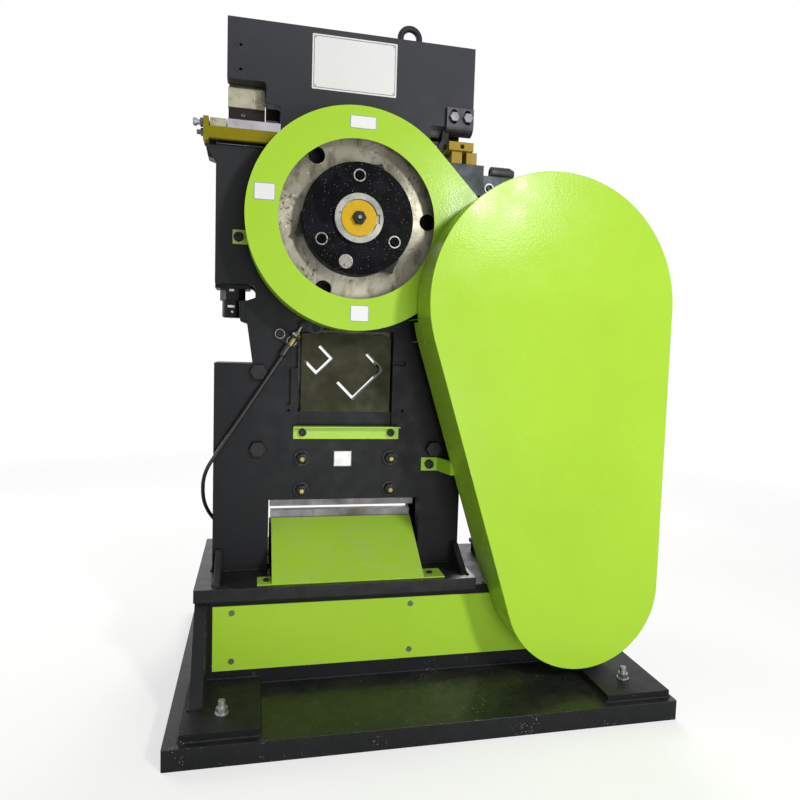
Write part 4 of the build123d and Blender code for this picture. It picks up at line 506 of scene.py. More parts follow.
FINISH_OF = {
    "lime": ("gear_guard", "belt_guard", "front_panel", "rear_panel", "scrap_chute", "blade_bar"),
    "grey": ("base_frame", "motor_plate"),
    "gloss_grey": ("pallet", "frame_sole"),
    "cut_grey": (
        "drive_side_plate",
        "operator_side_plate",
        "frame_spacers",
        "window_filler",
        "clutch_bracket",
        "punch_holder",
    ),
    "ochre": ("table_angle", "foot_pedal"),
    "gold": ("notch_hold_down",),
    "orange": ("shaft_cap",),
    "motor": ("motor",),
    "gear": ("main_gear",),
    "turned": ("eccentric_shaft", "flywheel_shaft", "idler_shaft", "motor_shaft"),
    "ring": ("shaft_nuts",),
    "milled": ("notch_die_block", "slide_block", "idler_gear"),
    "ground": ("support_bar",),
    "greased": ("ram",),
    "dark_steel": ("upper_left_blade",),
    "cream": ("upper_blade_holder",),
    "scale": ("notch_bracket",),
    "blade": ("section_blade", "moving_section_blade"),
    "shear": ("lower_shear_blade", "upper_shear_blade"),
    "black": ("notch_punch", "tie_bolts", "seat_bolts", "cap_bolt", "cover_screws", "clutch_lever", "stop_rod"),
    "disc": ("clutch_disc",),
    "iron": ("flywheel", "motor_pulley"),
    "eye": ("lifting_eye",),
    "zinc": ("anchor_bolts", "table_adjusters"),
    "dull_zinc": ("notch_bolts", "panel_screws"),
    "yellow_zinc": ("cable_ferrules",),
    "bronze": ("shaft_bushes", "guide_strips"),
    "screws": ("disc_screws",),
    "belt": ("drive_belts",),
    "sheath": ("clutch_cable",),
}
MATERIALS = {}


# Meshes. Points and outlines are in millimetres.


def placed(name, data):
    """A new object in the scene."""
    item = bpy.data.objects.new(name, data)
    bpy.context.scene.collection.objects.link(item)
    return item


def from_bmesh(name, shape, smooth=False):
    """A mesh from a bmesh, its doubles merged and its faces turned outwards."""
    bmesh.ops.remove_doubles(shape, verts=shape.verts, dist=1e-6)
    bmesh.ops.recalc_face_normals(shape, faces=shape.faces)
    mesh = bpy.data.meshes.new(name)
    shape.to_mesh(mesh)
    shape.free()
    if smooth:
        mesh.shade_smooth()
    return mesh


def keep(name, shape, body, slot, *finishes, smooth=False):
    """A finished piece from a mesh or bmesh, riding on a body, with its finishes; the slot is not used."""
    mesh = shape if isinstance(shape, bpy.types.Mesh) else from_bmesh(name, shape, smooth)
    piece = placed(name, mesh)
    for finish in finishes:
        mesh.materials.append(MATERIALS[finish])
    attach(piece, body)
    return piece


def join_rings(shape, rings, material=0, closed=False):
    """Joins rings of points, and caps the first and last or closes the last on the first."""
    rings = [[shape.verts.new(metres(point)) for point in ring] for ring in rings]
    count = len(rings[0])
    faces = [] if closed else [shape.faces.new(rings[0]), shape.faces.new(rings[-1])]
    for first, second in zip(rings, rings[1:] + (rings[:1] if closed else [])):
        for n in range(count):
            faces.append(shape.faces.new((first[n], first[(n + 1) % count], second[(n + 1) % count], second[n])))
    for face in faces:
        face.material_index = material


def band(shape, outer, inner, front, back, material=0):
    """A flat frame between two outlines of equal length in x and z, from a front to a back depth."""
    sides = ((outer, back), (outer, front), (inner, front), (inner, back))
    join_rings(shape, [[(x, depth, z) for x, z in outline] for outline, depth in sides], material, True)


def slab(shape, outline, front, back, material=0):
    """A flat plate with an outline in x and z, from a front to a back depth."""
    join_rings(shape, [[(x, depth, z) for x, z in outline] for depth in (front, back)], material)


def beam(shape, outline, left, right, material=0):
    """A bar along x with an outline in y and z."""
    join_rings(shape, [[(x, y, z) for y, z in outline] for x in (left, right)], material)


def lathe(shape, centre, axis, profile, sides=28, material=0, closed=False):
    """A turned body, or a hexagonal one of 6 sides: pairs of distance along its axis and radius."""
    turn = Vector(axis).to_track_quat("Z", "Y")
    rings = []
    for along, radius in profile:
        circle = arc(0, 0, radius, steps=sides)[:-1]
        rings.append([turn @ Vector((x, y, along)) + Vector(centre) for x, y in circle])
    join_rings(shape, rings, material, closed)


def softened(shape, width):
    """Breaks every sharp edge of a shape with a small round."""
    bmesh.ops.remove_doubles(shape, verts=shape.verts, dist=1e-6)
    bmesh.ops.recalc_face_normals(shape, faces=shape.faces)
    sharp = [edge for edge in shape.edges if len(edge.link_faces) == 2 and edge.calc_face_angle(0) > 0.5]
    bmesh.ops.bevel(shape, geom=sharp, offset=width * MM, segments=2, profile=0.5, affect="EDGES", clamp_overlap=True)
    return shape


def soft_slab(outline, front, back, width):
    """A new shape of one flat plate with softened edges."""
    shape = bmesh.new()
    slab(shape, outline, front, back)
    return softened(shape, width)


def cut_out(name, mesh, tool):
    """A mesh with another one cut out of it."""
    body, cutter = placed(name + "_body", mesh), placed(name + "_cutter", tool)
    modifier = body.modifiers.new("Cut", "BOOLEAN")
    modifier.operation, modifier.solver, modifier.object = "DIFFERENCE", "EXACT", cutter
    result = bpy.data.meshes.new_from_object(body.evaluated_get(bpy.context.evaluated_depsgraph_get()))
    result.name = name
    for item in (body, cutter):
        bpy.data.objects.remove(item)
    return result


def arc(x, z, radius, start=0.0, turn=2 * math.pi, steps=64):
    """Points along an arc; on a full circle the first point comes again at the end."""
    angles = [start + turn * n / steps for n in range(steps + 1)]
    return [(x + radius * math.cos(angle), z + radius * math.sin(angle)) for angle in angles]


def oblong(near, far, low, high):
    """The four corners of an outline."""
    return [(near, low), (far, low), (far, high), (near, high)]


def rounded_outline(left, right, low, high, corner):
    """Points round a rounded rectangle."""
    centres = oblong(right - corner, left + corner, high - corner, low + corner)
    quarter = math.pi / 2
    return [point for n, (x, z) in enumerate(centres) for point in arc(x, z, corner, n * quarter, quarter, 6)]


def hull_outline(grow=0.0, steps=96):
    """Points round the belt guard's outline, grown outwards by a width."""
    (x1, z1, r1), (x2, z2, r2) = BELT_GUARD_ENDS
    along = math.atan2(z2 - z1, x2 - x1)
    half = math.acos((r1 - r2) / math.hypot(x2 - x1, z2 - z1))
    large = arc(x1, z1, r1 + grow, along + half, 2 * math.pi - 2 * half, steps)
    return large + arc(x2, z2, r2 + grow, along - half, 2 * half, steps)


# Geometry node trees


def start_tree(name, *sizes):
    """A tree with inputs for a geometry, its sizes and its material, and the sockets that bring them."""
    tree = bpy.data.node_groups.new(name, "GeometryNodeTree")
    sockets = {"Geometry": "NodeSocketGeometry", **dict.fromkeys(sizes, "NodeSocketFloat")}
    for label, kind in (sockets | {"Material": "NodeSocketMaterial"}).items():
        tree.interface.new_socket(label, in_out="INPUT", socket_type=kind)
    tree.interface.new_socket("Geometry", in_out="OUTPUT", socket_type="NodeSocketGeometry")
    return tree, add(tree, "NodeGroupInput", output=None)


def end_tree(tree, geometry, source):
    """Ends a tree: instances made real, and the material set."""
    real = add(tree, "GeometryNodeRealizeInstances", (geometry,))
    painted = add(tree, "GeometryNodeSetMaterial", {"Geometry": real, "Material": source["Material"]})
    add(tree, "NodeGroupOutput", (painted,), None)
    return tree


def round_bar(tree, path, radius, sides=8):
    """A capped round bar along a path, whose radius may change from point to point."""
    ring = add(tree, "GeometryNodeCurvePrimitiveCircle", {"Resolution": sides, "Radius": 1.0}, mode="RADIUS")
    inputs = {"Curve": path, "Profile Curve": ring, "Scale": radius, "Fill Caps": True}
    return add(tree, "GeometryNodeCurveToMesh", inputs)


def ridged(tree, path, pitch, points, low, high):
    """A path cut so that each ridge has so many points, and a width that goes from low to high on every ridge."""
    step = add(tree, "ShaderNodeMath", (pitch, 1 / points), operation="MULTIPLY")
    path = add(tree, "GeometryNodeResampleCurve", {"Curve": path, "Length": step}, mode="LENGTH")
    index = add(tree, "GeometryNodeInputIndex")
    turn = add(tree, "ShaderNodeMath", (index, 2 * math.pi / points), operation="MULTIPLY")
    wave = add(tree, "ShaderNodeMath", (turn,), operation="SINE")
    return path, add(tree, "ShaderNodeMapRange", (wave, -1, 1, low, high))


def weld_tree():
    """A bead that follows its paths: half round, rippled, and a little uneven in width."""
    tree, source = start_tree("Weld bead", "Width", "Ripple")
    path, ripple = ridged(tree, source["Geometry"], source["Ripple"], 3, 0.42, 0.56)
    noise = add(tree, "ShaderNodeTexNoise", {"Scale": 60.0, "Detail": 2.0})
    swell = add(tree, "ShaderNodeMapRange", (noise, 0.3, 0.7, 0.8, 1.2))
    radius = add(tree, "ShaderNodeMath", (swell, ripple), operation="MULTIPLY")
    radius = add(tree, "ShaderNodeMath", (radius, source["Width"]), operation="MULTIPLY")
    bead = add(tree, "GeometryNodeSetShadeSmooth", (round_bar(tree, path, radius),))
    return end_tree(tree, bead, source)


def bead_tree():
    """A plain round bead or wire that follows its paths."""
    tree, source = start_tree("Edge bead", "Radius")
    bar = round_bar(tree, source["Geometry"], source["Radius"])
    return end_tree(tree, add(tree, "GeometryNodeSetShadeSmooth", (bar,)), source)


def thread_tree():
    """Threaded stud ends: ridged rods with a rounded tip, one on each point, along the point's axis."""
    tree, source = start_tree("Stud ends", "Radius", "Length", "Pitch")
    end = add(tree, "ShaderNodeCombineXYZ", {"Z": source["Length"]})
    line = add(tree, "GeometryNodeCurvePrimitiveLine", {"Start": (0, 0, 0), "End": end})
    line, ridge = ridged(tree, line, source["Pitch"], 4, 0.88, 1.0)
    share = add(tree, "GeometryNodeSplineParameter", output="Factor")
    tip = add(tree, "ShaderNodeMapRange", (share, 0.86, 1.0, 1.0, 0.72))
    radius = add(tree, "ShaderNodeMath", (ridge, tip), operation="MULTIPLY")
    radius = add(tree, "ShaderNodeMath", (radius, source["Radius"]), operation="MULTIPLY")
    rod = round_bar(tree, line, radius, 20)
    axis = add(tree, "GeometryNodeInputNamedAttribute", {"Name": "axis"}, data_type="FLOAT_VECTOR")
    turned = add(tree, "FunctionNodeAlignRotationToVector", {"Vector": axis}, axis="Z")
    inputs = {"Points": source["Geometry"], "Instance": rod, "Rotation": turned}
    return end_tree(tree, add(tree, "GeometryNodeInstanceOnPoints", inputs), source)


def grown(name, data, tree, finish, **sizes):
    """The plain mesh that a tree makes from some data, with its finish and its sizes in metres."""
    carrier = placed(name + "_path", data)
    modifier = carrier.modifiers.new("Shape", "NODES")
    modifier.node_group = tree
    values = {"Material": MATERIALS[finish], **sizes}
    for item in tree.interface.items_tree:
        if item.in_out == "INPUT" and item.name in values:
            modifier[item.identifier] = values[item.name]
    graph = bpy.context.evaluated_depsgraph_get()
    mesh = bpy.data.meshes.new_from_object(carrier.evaluated_get(graph))
    mesh.name = name
    bpy.data.objects.remove(carrier)
    return mesh


def paths(name, lines):
    """A curve with one straight-sided spline for each list of points."""
    curve = bpy.data.curves.new(name, "CURVE")
    curve.dimensions = "3D"
    for line in lines:
        spline = curve.splines.new("POLY")
        spline.points.add(len(line) - 1)
        for point, place in zip(spline.points, line):
            point.co = (*metres(place), 1.0)
    return curve


def weld_lines():
    """Where the plates are welded together."""
    lines = []
    for left, right in ((-597.5, -421.5), (446.5, 622.5)):
        for side in (-1, 1):
            near, far = side * 189, side * 428
            lines.append([(left, near, 50), (left, far, 50), (right, far, 50), (right, near, 50)])
    for side in (-1, 1):
        wall, inner, outer = side * 188.5, side * 45, side * 85
        lines += [
            [(-421, wall, 50), (446, wall, 50)],
            [(-586, wall, 68), (-586, side * 334, 68)],
            [(-556, side * 190, 68), (-556, side * 334, 68)],
            [(-556, wall, 68), (-556, wall, 284)],
            [(-421, wall, 68), (-556, wall, 68)],
            [(446, wall, 68), (560, wall, 68)],
        ]
        for first, last in ((-551, -404), (20, 140)):
            lines += [[(first, y, 319), (last, y, 319)] for y in (outer, inner)]
        lines += [[(x, inner, 319), (x, outer, 319)] for x in (-551, 140, -404, 20)]
        for x in (-541, -525, 120, 136):
            lines += [[(x, side * 87, 319), (x, side * 200, 319)], [(x, outer, 321), (x, outer, 379)]]
    return lines + [[(560, -188, 50), (560, 188, 50)], [(-586, -186, 50), (-586, 186, 50)]]


def stud_ends(name, body, slot, spots, axis, radius, length, finish, pitch, tree):
    """Threaded ends at spots, along an axis."""
    mesh = bpy.data.meshes.new(name + "_spots")
    mesh.from_pydata([metres(spot) for spot in spots], [], [])
    for item in mesh.attributes.new("axis", "FLOAT_VECTOR", "POINT").data:
        item.vector = axis
    keep(name, grown(name, mesh, tree, finish, Radius=radius * MM, Length=length * MM, Pitch=pitch), body, slot)


# Operators


class MACHINE_OT_paint_parts(bpy.types.Operator):
    """Give every CAD part its finish."""

    bl_idname = "machine.paint_parts"
    bl_label = "Paint the parts"

    def execute(self, context):
        MATERIALS.clear()
        MATERIALS.update(make_materials(context.scene.machine_finish))
        left = set(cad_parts)
        for finish, nodes in FINISH_OF.items():
            for name in nodes:
                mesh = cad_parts[name].data
                mesh.materials.clear()
                mesh.materials.append(MATERIALS[finish])
                left.discard(name)
        if left:
            raise RuntimeError(f"no finish for {sorted(left)}")
        return {"FINISHED"}


PLATES = (
    # left, right, low, high, face, line width, line inset, line finish
    (-309.0, -81.5, 1614.0, 1754.5, PLATE_FACE, 1.4, 4.0, 1),
    (-220.0, -153.0, 1485.0, 1517.0, GUARD_FACE, 1.6, 0.0, 2),
    (-453.5, -402.0, 1290.5, 1332.0, GUARD_FACE, 1.6, 0.0, 2),
    (-208.0, -160.0, 1001.6, 1043.0, GUARD_FACE, 1.6, 0.0, 2),
    (-228.0, -179.0, 604.0, 647.0, PLATE_FACE, 1.6, 0.0, 2),
)


class MACHINE_OT_blank_plates(bpy.types.Operator):
    """Fix the blank white plates, with their printed border lines, to the plate and the gear guard."""

    bl_idname = "machine.blank_plates"
    bl_label = "Blank plates"

    def execute(self, context):
        thick = context.scene.machine_hardware.plate_thickness / MM
        shape = bmesh.new()
        corner = 2.0
        for left, right, low, high, face, line, inset, finish in PLATES:
            front = face - thick
            slab(shape, rounded_outline(left, right, low, high, corner), front, face + 0.3)
            outer = rounded_outline(left + inset, right - inset, low + inset, high - inset, corner + 1)
            edge = inset + line
            inner = rounded_outline(left + edge, right - edge, low + edge, high - edge, corner)
            band(shape, outer, inner, front - 0.15, front + 0.1, finish)
        keep("blank_plates", shape, "frame", "frame_paint", "white_plate", "print", "grey_print")
        rivets = bmesh.new()
        left, right, low, high, face = PLATES[0][:5]
        for x, z in ((x, z) for x in (left + 9, right - 9) for z in (low + 9, high - 9)):
            place = Matrix.Translation(metres((x, face - thick, z))) @ Matrix.Rotation(math.pi / 2, 4, "X")
            dome = place @ Matrix.Diagonal((1, 1, 0.45, 1))
            bmesh.ops.create_uvsphere(rivets, u_segments=16, v_segments=8, radius=0.0026, matrix=dome)
        keep("plate_rivets", rivets, "frame", "bright_zinc", "zinc", smooth=True)
        return {"FINISHED"}


class MACHINE_OT_weld_beads(bpy.types.Operator):
    """Lay the rippled weld beads along the joints of the pallet, the base and the frame plates."""

    bl_idname = "machine.weld_beads"
    bl_label = "Weld beads"

    def execute(self, context):
        sizes = context.scene.machine_hardware
        lines = paths("weld_paths", weld_lines())
        mesh = grown("weld_beads", lines, weld_tree(), "grey", Width=sizes.weld_width, Ripple=sizes.weld_ripple)
        keep("weld_beads", mesh, "frame", "frame_paint")
        return {"FINISHED"}


class MACHINE_OT_guard_seams(bpy.types.Operator):
    """Round the belt guard's front edge with its dressed weld, and lay the butt welds across its rim."""

    bl_idname = "machine.guard_seams"
    bl_label = "Guard seams"

    def execute(self, context):
        edge = [(x, BELT_GUARD_FACE + 1.6, z) for x, z in hull_outline(-1.5)]
        edge.append(edge[0])
        mesh = grown("belt_guard_edge", paths("guard_edge_path", [edge]), bead_tree(), "lime", Radius=0.0018)
        keep("belt_guard_edge", mesh, "frame", "guard_paint")
        left_side = [point for point in hull_outline(0.2) if point[0] < 400]
        seams = []
        for height in GUARD_SEAMS:
            x, z = min(left_side, key=lambda point: abs(point[1] - height))
            seams.append([(x, BELT_GUARD_FACE + 2, z), (x, PLATE_FACE - 8, z)])
        mesh = grown("guard_seam_welds", paths("seam_paths", seams), bead_tree(), "lime", Radius=0.0012)
        keep("guard_seam_welds", mesh, "frame", "guard_paint")
        return {"FINISHED"}


class MACHINE_OT_seat_nuts(bpy.types.Operator):
    """Clamp the blade seat with black nuts on broad washers, in place of the plain bolts."""

    bl_idname = "machine.seat_nuts"
    bl_label = "Seat nuts"

    def execute(self, context):
        shape = bmesh.new()
        for x, z in SEAT_SPOTS:
            spot = (x, PLATE_FACE, z)
            lathe(shape, spot, OUT, [(-0.5, 22.6), (3.4, 22.6), (4.2, 21.8)], 40)
            lathe(shape, spot, OUT, [(4.0, 15.2), (5.0, 16.6), (17.0, 16.6), (18.0, 15.2)], 6)
            lathe(shape, spot, OUT, [(3.9, 14.2), (18.3, 14.2), (19.4, 11.0)], 32)
        piece = keep("seat_nuts", shape, "frame", "black_steel", "black")
        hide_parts("seat_bolts")
        return {"FINISHED"}


COVER_HEADS = (
    # x, z, face, washer radius, head radius
    (-492.0, 1214.5, COVER_FACE, 15.5, 12.0),
    (45.0, 609.0, COVER_FACE, 0.0, 12.6),
    (-316.0, 699.0, COVER_FACE, 0.0, 10.2),
    (-70.0, 699.0, COVER_FACE, 0.0, 10.2),
    (-381.0, 965.5, CABLE_PLATE_FACE, 13.6, 10.0),
    (-350.0, 946.0, CABLE_PLATE_FACE, 13.6, 10.0),
)


class MACHINE_OT_cover_heads(bpy.types.Operator):
    """Set the covers' broad socket heads, some on spring washers, over the plain screws."""

    bl_idname = "machine.cover_heads"
    bl_label = "Cover screw heads"

    def execute(self, context):
        shape = bmesh.new()
        for x, z, face, washer, head in COVER_HEADS:
            spot = (x, face, z)
            if washer:
                rim = [(-0.2, head + 0.4), (2.4, head + 0.9), (3.0, (head + washer) / 2), (2.4, washer), (-0.2, washer)]
                lathe(shape, spot, OUT, rim, 36, 1, True)
            high = head * 0.95
            socket = [(high, head * 0.56), (high * 0.45, head * 0.54)]
            cup = [(-0.2, head), (high - 1.2, head), (high, head - 1.2), *socket]
            lathe(shape, spot, OUT, cup, 30)
        keep("cover_heads", shape, "frame", "black_steel", "black", "zinc")
        return {"FINISHED"}


class MACHINE_OT_disc_lugs(bpy.types.Operator):
    """Let the clutch ring's three forged lugs stand out behind the disc."""

    bl_idname = "machine.disc_lugs"
    bl_label = "Disc lugs"

    def execute(self, context):
        root, foot = 136, 145
        shape = bmesh.new()
        for tip, low, high, reach in ((67.6, 60.5, 80, 158.5), (194, 175, 198, 161), (306, 299, 320, 161)):
            rise = [(low - 2, root), (low, foot), (tip - 2, reach - 5), (tip - 0.5, reach)]
            fall = [(tip + 0.5, reach), (tip + 3, reach - 6), (high, foot), (high + 2, root)]
            outline = []
            for angle, radius in rise + fall:
                angle = math.radians(angle)
                outline.append((GEAR_AXIS[0] + radius * math.cos(angle), GEAR_AXIS[2] + radius * math.sin(angle)))
            slab(shape, outline, -190, -166)
        keep("disc_lugs", softened(shape, 1.2), "gear", "cast_black", "lug")
        return {"FINISHED"}


class MACHINE_OT_bar_table(bpy.types.Operator):
    """Build the bar shear's table: ochre angle and end plate, ground bar, primed end block and adjusting screws."""

    bl_idname = "machine.bar_table"
    bl_label = "Bar table"

    def execute(self, context):
        angle = bmesh.new()
        nose = [(-120, 1452), (-106, 1452), (-106, 1473), (-85.5, 1473), (-85.5, 1481.5), (-120, 1481.5)]
        beam(angle, nose, -568, -398)
        beam(angle, oblong(-120, -60, 1446, 1505), -581, -567.5)
        piece = keep("bar_table_angle", softened(angle, 1.0), "frame", "table_paint", "ochre")
        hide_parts("table_angle")
        outline = [(-582, 1464), (-551, 1464), (-549, 1410), (-556, 1410), (-571, 1415)]
        keep("bar_table_gusset", soft_slab(outline, -84, -40, 1.5), "frame", "frame_paint", "lug")
        bar = bmesh.new()
        beam(bar, oblong(-110, -31, 1482, 1506.5), -522.5, -389)
        # The block under the bar takes the black finish as painted shade beneath the ground bar.
        beam(bar, oblong(-85, -31, 1449.5, 1482), -551, -389, 2)
        beam(bar, [(-110, 1482), (-42, 1482), (-42, 1499), (-50, 1505), (-107, 1506), (-110, 1503)], -565, -524.5, 1)
        piece = keep("bar_table_rest", softened(bar, 0.8), "frame", "machined_steel", "ground", "cream", "black")
        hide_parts("support_bar")
        screws = bmesh.new()
        upper, lower, left = (-581, -97, 1494), (-581, -80, 1475), (-1, 0, 0)
        lathe(screws, upper, left, [(-0.5, 9.0), (0.5, 11.5), (8.0, 11.5), (9.0, 9.6)], 6, 1)
        lathe(screws, upper, left, [(8.5, 6.5), (16, 6.5), (16, 9.5), (22, 10.2), (26, 8.6), (28, 5.0)], 24)
        lathe(screws, lower, left, [(-0.5, 8.0), (0.5, 10.5), (8.0, 10.5), (9.0, 8.8)], 6, 1)
        lathe(screws, lower, left, [(8.5, 6.0), (17, 6.0), (18.5, 4.6)], 20, 1)
        piece = keep("table_screws", screws, "frame", "bright_zinc", "zinc", "dull_zinc")
        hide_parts("table_adjusters")
        return {"FINISHED"}


class MACHINE_OT_notch_station(bpy.types.Operator):
    """Build the notching station's bent bracket, with its slots, its hold-down arm and its round stop bar."""

    bl_idname = "machine.notch_station"
    bl_label = "Notch station"

    def execute(self, context):
        outer, inner = (arc(-73, 1558, radius, math.pi, math.pi / 2, 6) for radius in (24, 12))
        plate = bmesh.new()
        beam(plate, [(-97, 1603), *outer, (-66, 1534), (-66, 1546), *inner[::-1], (-85, 1603)], 61, 138)
        slots = bmesh.new()
        for x in (81, 120):
            slab(slots, rounded_outline(x - 9.5, x + 9.5, 1559, 1598, 9.4), -105, -78)
        mesh = cut_out("notch_slotted_bracket", from_bmesh("bent_plate", plate), from_bmesh("slots", slots))
        piece = keep("notch_slotted_bracket", mesh, "frame", "machined_steel", "scale")
        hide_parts("notch_bracket")
        outline = [(30, 1484), (58, 1484), (72, 1510), (72, 1546), (54, 1546), (50, 1516)]
        keep("hold_down_arm", soft_slab(outline, -84, -66, 2.0), "frame", "machined_steel", "dark_steel")
        stop, screw = bmesh.new(), (196, -80, 1397)
        bore = [(0.0, 15.5), (1.5, 17.0), (56, 17.0), (70, 11.0), (70, 0.01), (2.0, 0.01), (2.0, 10.5), (0.0, 10.5)]
        lathe(stop, (204, -62, 1446), (1, 0, 0), bore, 32, 0, True)
        washer = [(-0.5, 8.6), (3.0, 9.2), (3.6, 12.0), (3.0, 14.6), (-0.5, 14.6)]
        lathe(stop, screw, OUT, washer, 32, 2, True)
        lathe(stop, screw, OUT, [(-0.5, 8.6), (7, 8.6), (8, 7.6), (8, 5), (3, 4.8)], 28, 1)
        piece = keep("notch_stop_bar", stop, "frame", "machined_steel", "scale", "black", "zinc")
        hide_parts("stop_rod")
        return {"FINISHED"}


class MACHINE_OT_small_marks(bpy.types.Operator):
    """Add black rings of painted shade round two holes, the holder's clips, the stripper block, the cable's nut and
    boot, and the rim screws.
    """

    bl_idname = "machine.small_marks"
    bl_label = "Small screws and rims"

    def execute(self, context):
        # Black rings of painted shade round two holes in the plate, which make the holes look wider and dark.
        shade_ring_mesh = bmesh.new()
        ring = [(-0.4, 3.9), (0.35, 3.9), (0.35, 6.2), (-0.4, 6.6)]
        for z in (1700.5, 1640.5):
            lathe(shade_ring_mesh, (-502, PLATE_FACE, z), OUT, ring, closed=True)
        keep("hole_shade_rings", shade_ring_mesh, "frame", "frame_paint", "painted_shade")
        holder = bmesh.new()
        slab(holder, rounded_outline(-517, -503, 1077, 1084, 2), -31, -28)
        slab(holder, rounded_outline(-521, -501, 1033, 1040, 3), -31.4, -28)
        lathe(holder, (-508, -29, 1022), OUT, [(-2, 3.6), (2.0, 3.6), (2.8, 2.6)], 20)
        keep("holder_clips", softened(holder, 0.6), "ram", "bright_zinc", "zinc")
        outline = [(-489, 1049), (-474, 1053), (-450, 1040), (-450, 990), (-462, 988), (-486, 996)]
        keep("stripper_block", soft_slab(outline, -84, -38, 3.0), "frame", "frame_paint", "cut_grey")
        nut = bmesh.new()
        lathe(nut, CABLE_PIN - CABLE_LINE * 34, -CABLE_LINE, [(-5.5, 10.5), (-4.5, 12.2), (4.5, 12.2), (5.5, 10.5)], 6)
        lathe(nut, CABLE_PIN - CABLE_LINE * 28, -CABLE_LINE, [(-6, 3.4), (-4.6, 5.2), (2, 6.4)], 20)
        keep("cable_lock_nut", nut, "frame", "bright_zinc", "zinc")
        boot = bmesh.new()
        lathe(boot, CABLE_PIN - CABLE_LINE * 64, -CABLE_LINE, [(0, 8.4), (2, 9.4), (32, 9.4), (36, 7.6)], 24)
        keep("cable_boot", boot, "frame", "cable_sheath", "sheath")
        screws = bmesh.new()
        x, z, radius = BELT_GUARD_ENDS[0]
        for angle in (29.5, -7.5):
            out = Vector((math.cos(math.radians(angle)), 0, math.sin(math.radians(angle))))
            spot = Vector((x, -322, z)) + out * radius
            lathe(screws, spot, out, [(-1, 5.6), (2.2, 5.6), (4.4, 4.2), (5.2, 2.0)], 20)
        keep("guard_rim_screws", screws, "frame", "black_steel", "black", smooth=True)
        return {"FINISHED"}


class MACHINE_OT_stud_ends(bpy.types.Operator):
    """Thread the ends of the anchor studs, the blade seat bolts and the cap stud."""

    bl_idname = "machine.stud_ends"
    bl_label = "Stud ends"

    def execute(self, context):
        pitch = context.scene.machine_hardware.thread_pitch
        tree = thread_tree()
        stud_ends("anchor_threads", "frame", "bright_zinc", ANCHOR_SPOTS, (0, 0, 1), 8.4, 17.6, "zinc", pitch, tree)
        seats = [(x, PLATE_FACE - 16, z) for x, z in SEAT_SPOTS]
        stud_ends("seat_stud_ends", "frame", "bright_zinc", seats, OUT, 7.6, 12, "yellow_zinc", pitch, tree)
        cap = [(GEAR_AXIS[0], -227.8, GEAR_AXIS[2])]
        stud_ends("cap_stud_end", "eccentric", "black_steel", cap, OUT, 6.5, 5, "dull_zinc", pitch, tree)
        return {"FINISHED"}


class MACHINE_OT_fan_grille(bpy.types.Operator):
    """Fit the fan cover's wire grille over a black disc of painted shade in its opening."""

    bl_idname = "machine.fan_grille"
    bl_label = "Fan grille"

    def execute(self, context):
        pitch = context.scene.machine_hardware.grille_pitch / MM
        x, y, z = FAN_CENTRE
        opening, hub, spokes = 95, 18, 6
        circles = [arc(x, z, n * pitch, steps=48) for n in range(2, int(opening / pitch) + 1)]
        wires = [[(a, y + 1.6, b) for a, b in circle] for circle in circles]
        near, far = (arc(x, z, radius, math.pi / spokes, steps=spokes)[:-1] for radius in (14, opening + 2))
        wires += [[(a, y + 2.6, b) for a, b in ends] for ends in zip(near, far)]
        mesh = grown("fan_grille", paths("grille_wires", wires), bead_tree(), "motor", Radius=0.0014)
        keep("fan_grille", mesh, "frame", "motor_paint")
        # A black disc of painted shade fills the opening round the motor-painted hub.
        shape = bmesh.new()
        slab(shape, arc(x, z, opening, steps=64)[:-1], y + 0.5, y - 0.5)
        slab(shape, arc(x, z, hub, steps=32)[:-1], y + 3.2, y - 0.5, 1)
        keep("fan_opening_shade_disc", shape, "frame", "motor_paint", "painted_shade", "motor")
        return {"FINISHED"}


class MACHINE_OT_control_wire(bpy.types.Operator):
    """Join the clutch lever to its cable with the inner wire, which slides into the ferrule."""

    bl_idname = "machine.control_wire"
    bl_label = "Control wire"

    def execute(self, context):
        line = paths("wire_path", [[CABLE_PIN, CABLE_PIN - CABLE_LINE * 30]])
        keep("control_wire", grown("control_wire", line, bead_tree(), "zinc", Radius=0.0024), "lever", "bright_zinc")
        return {"FINISHED"}


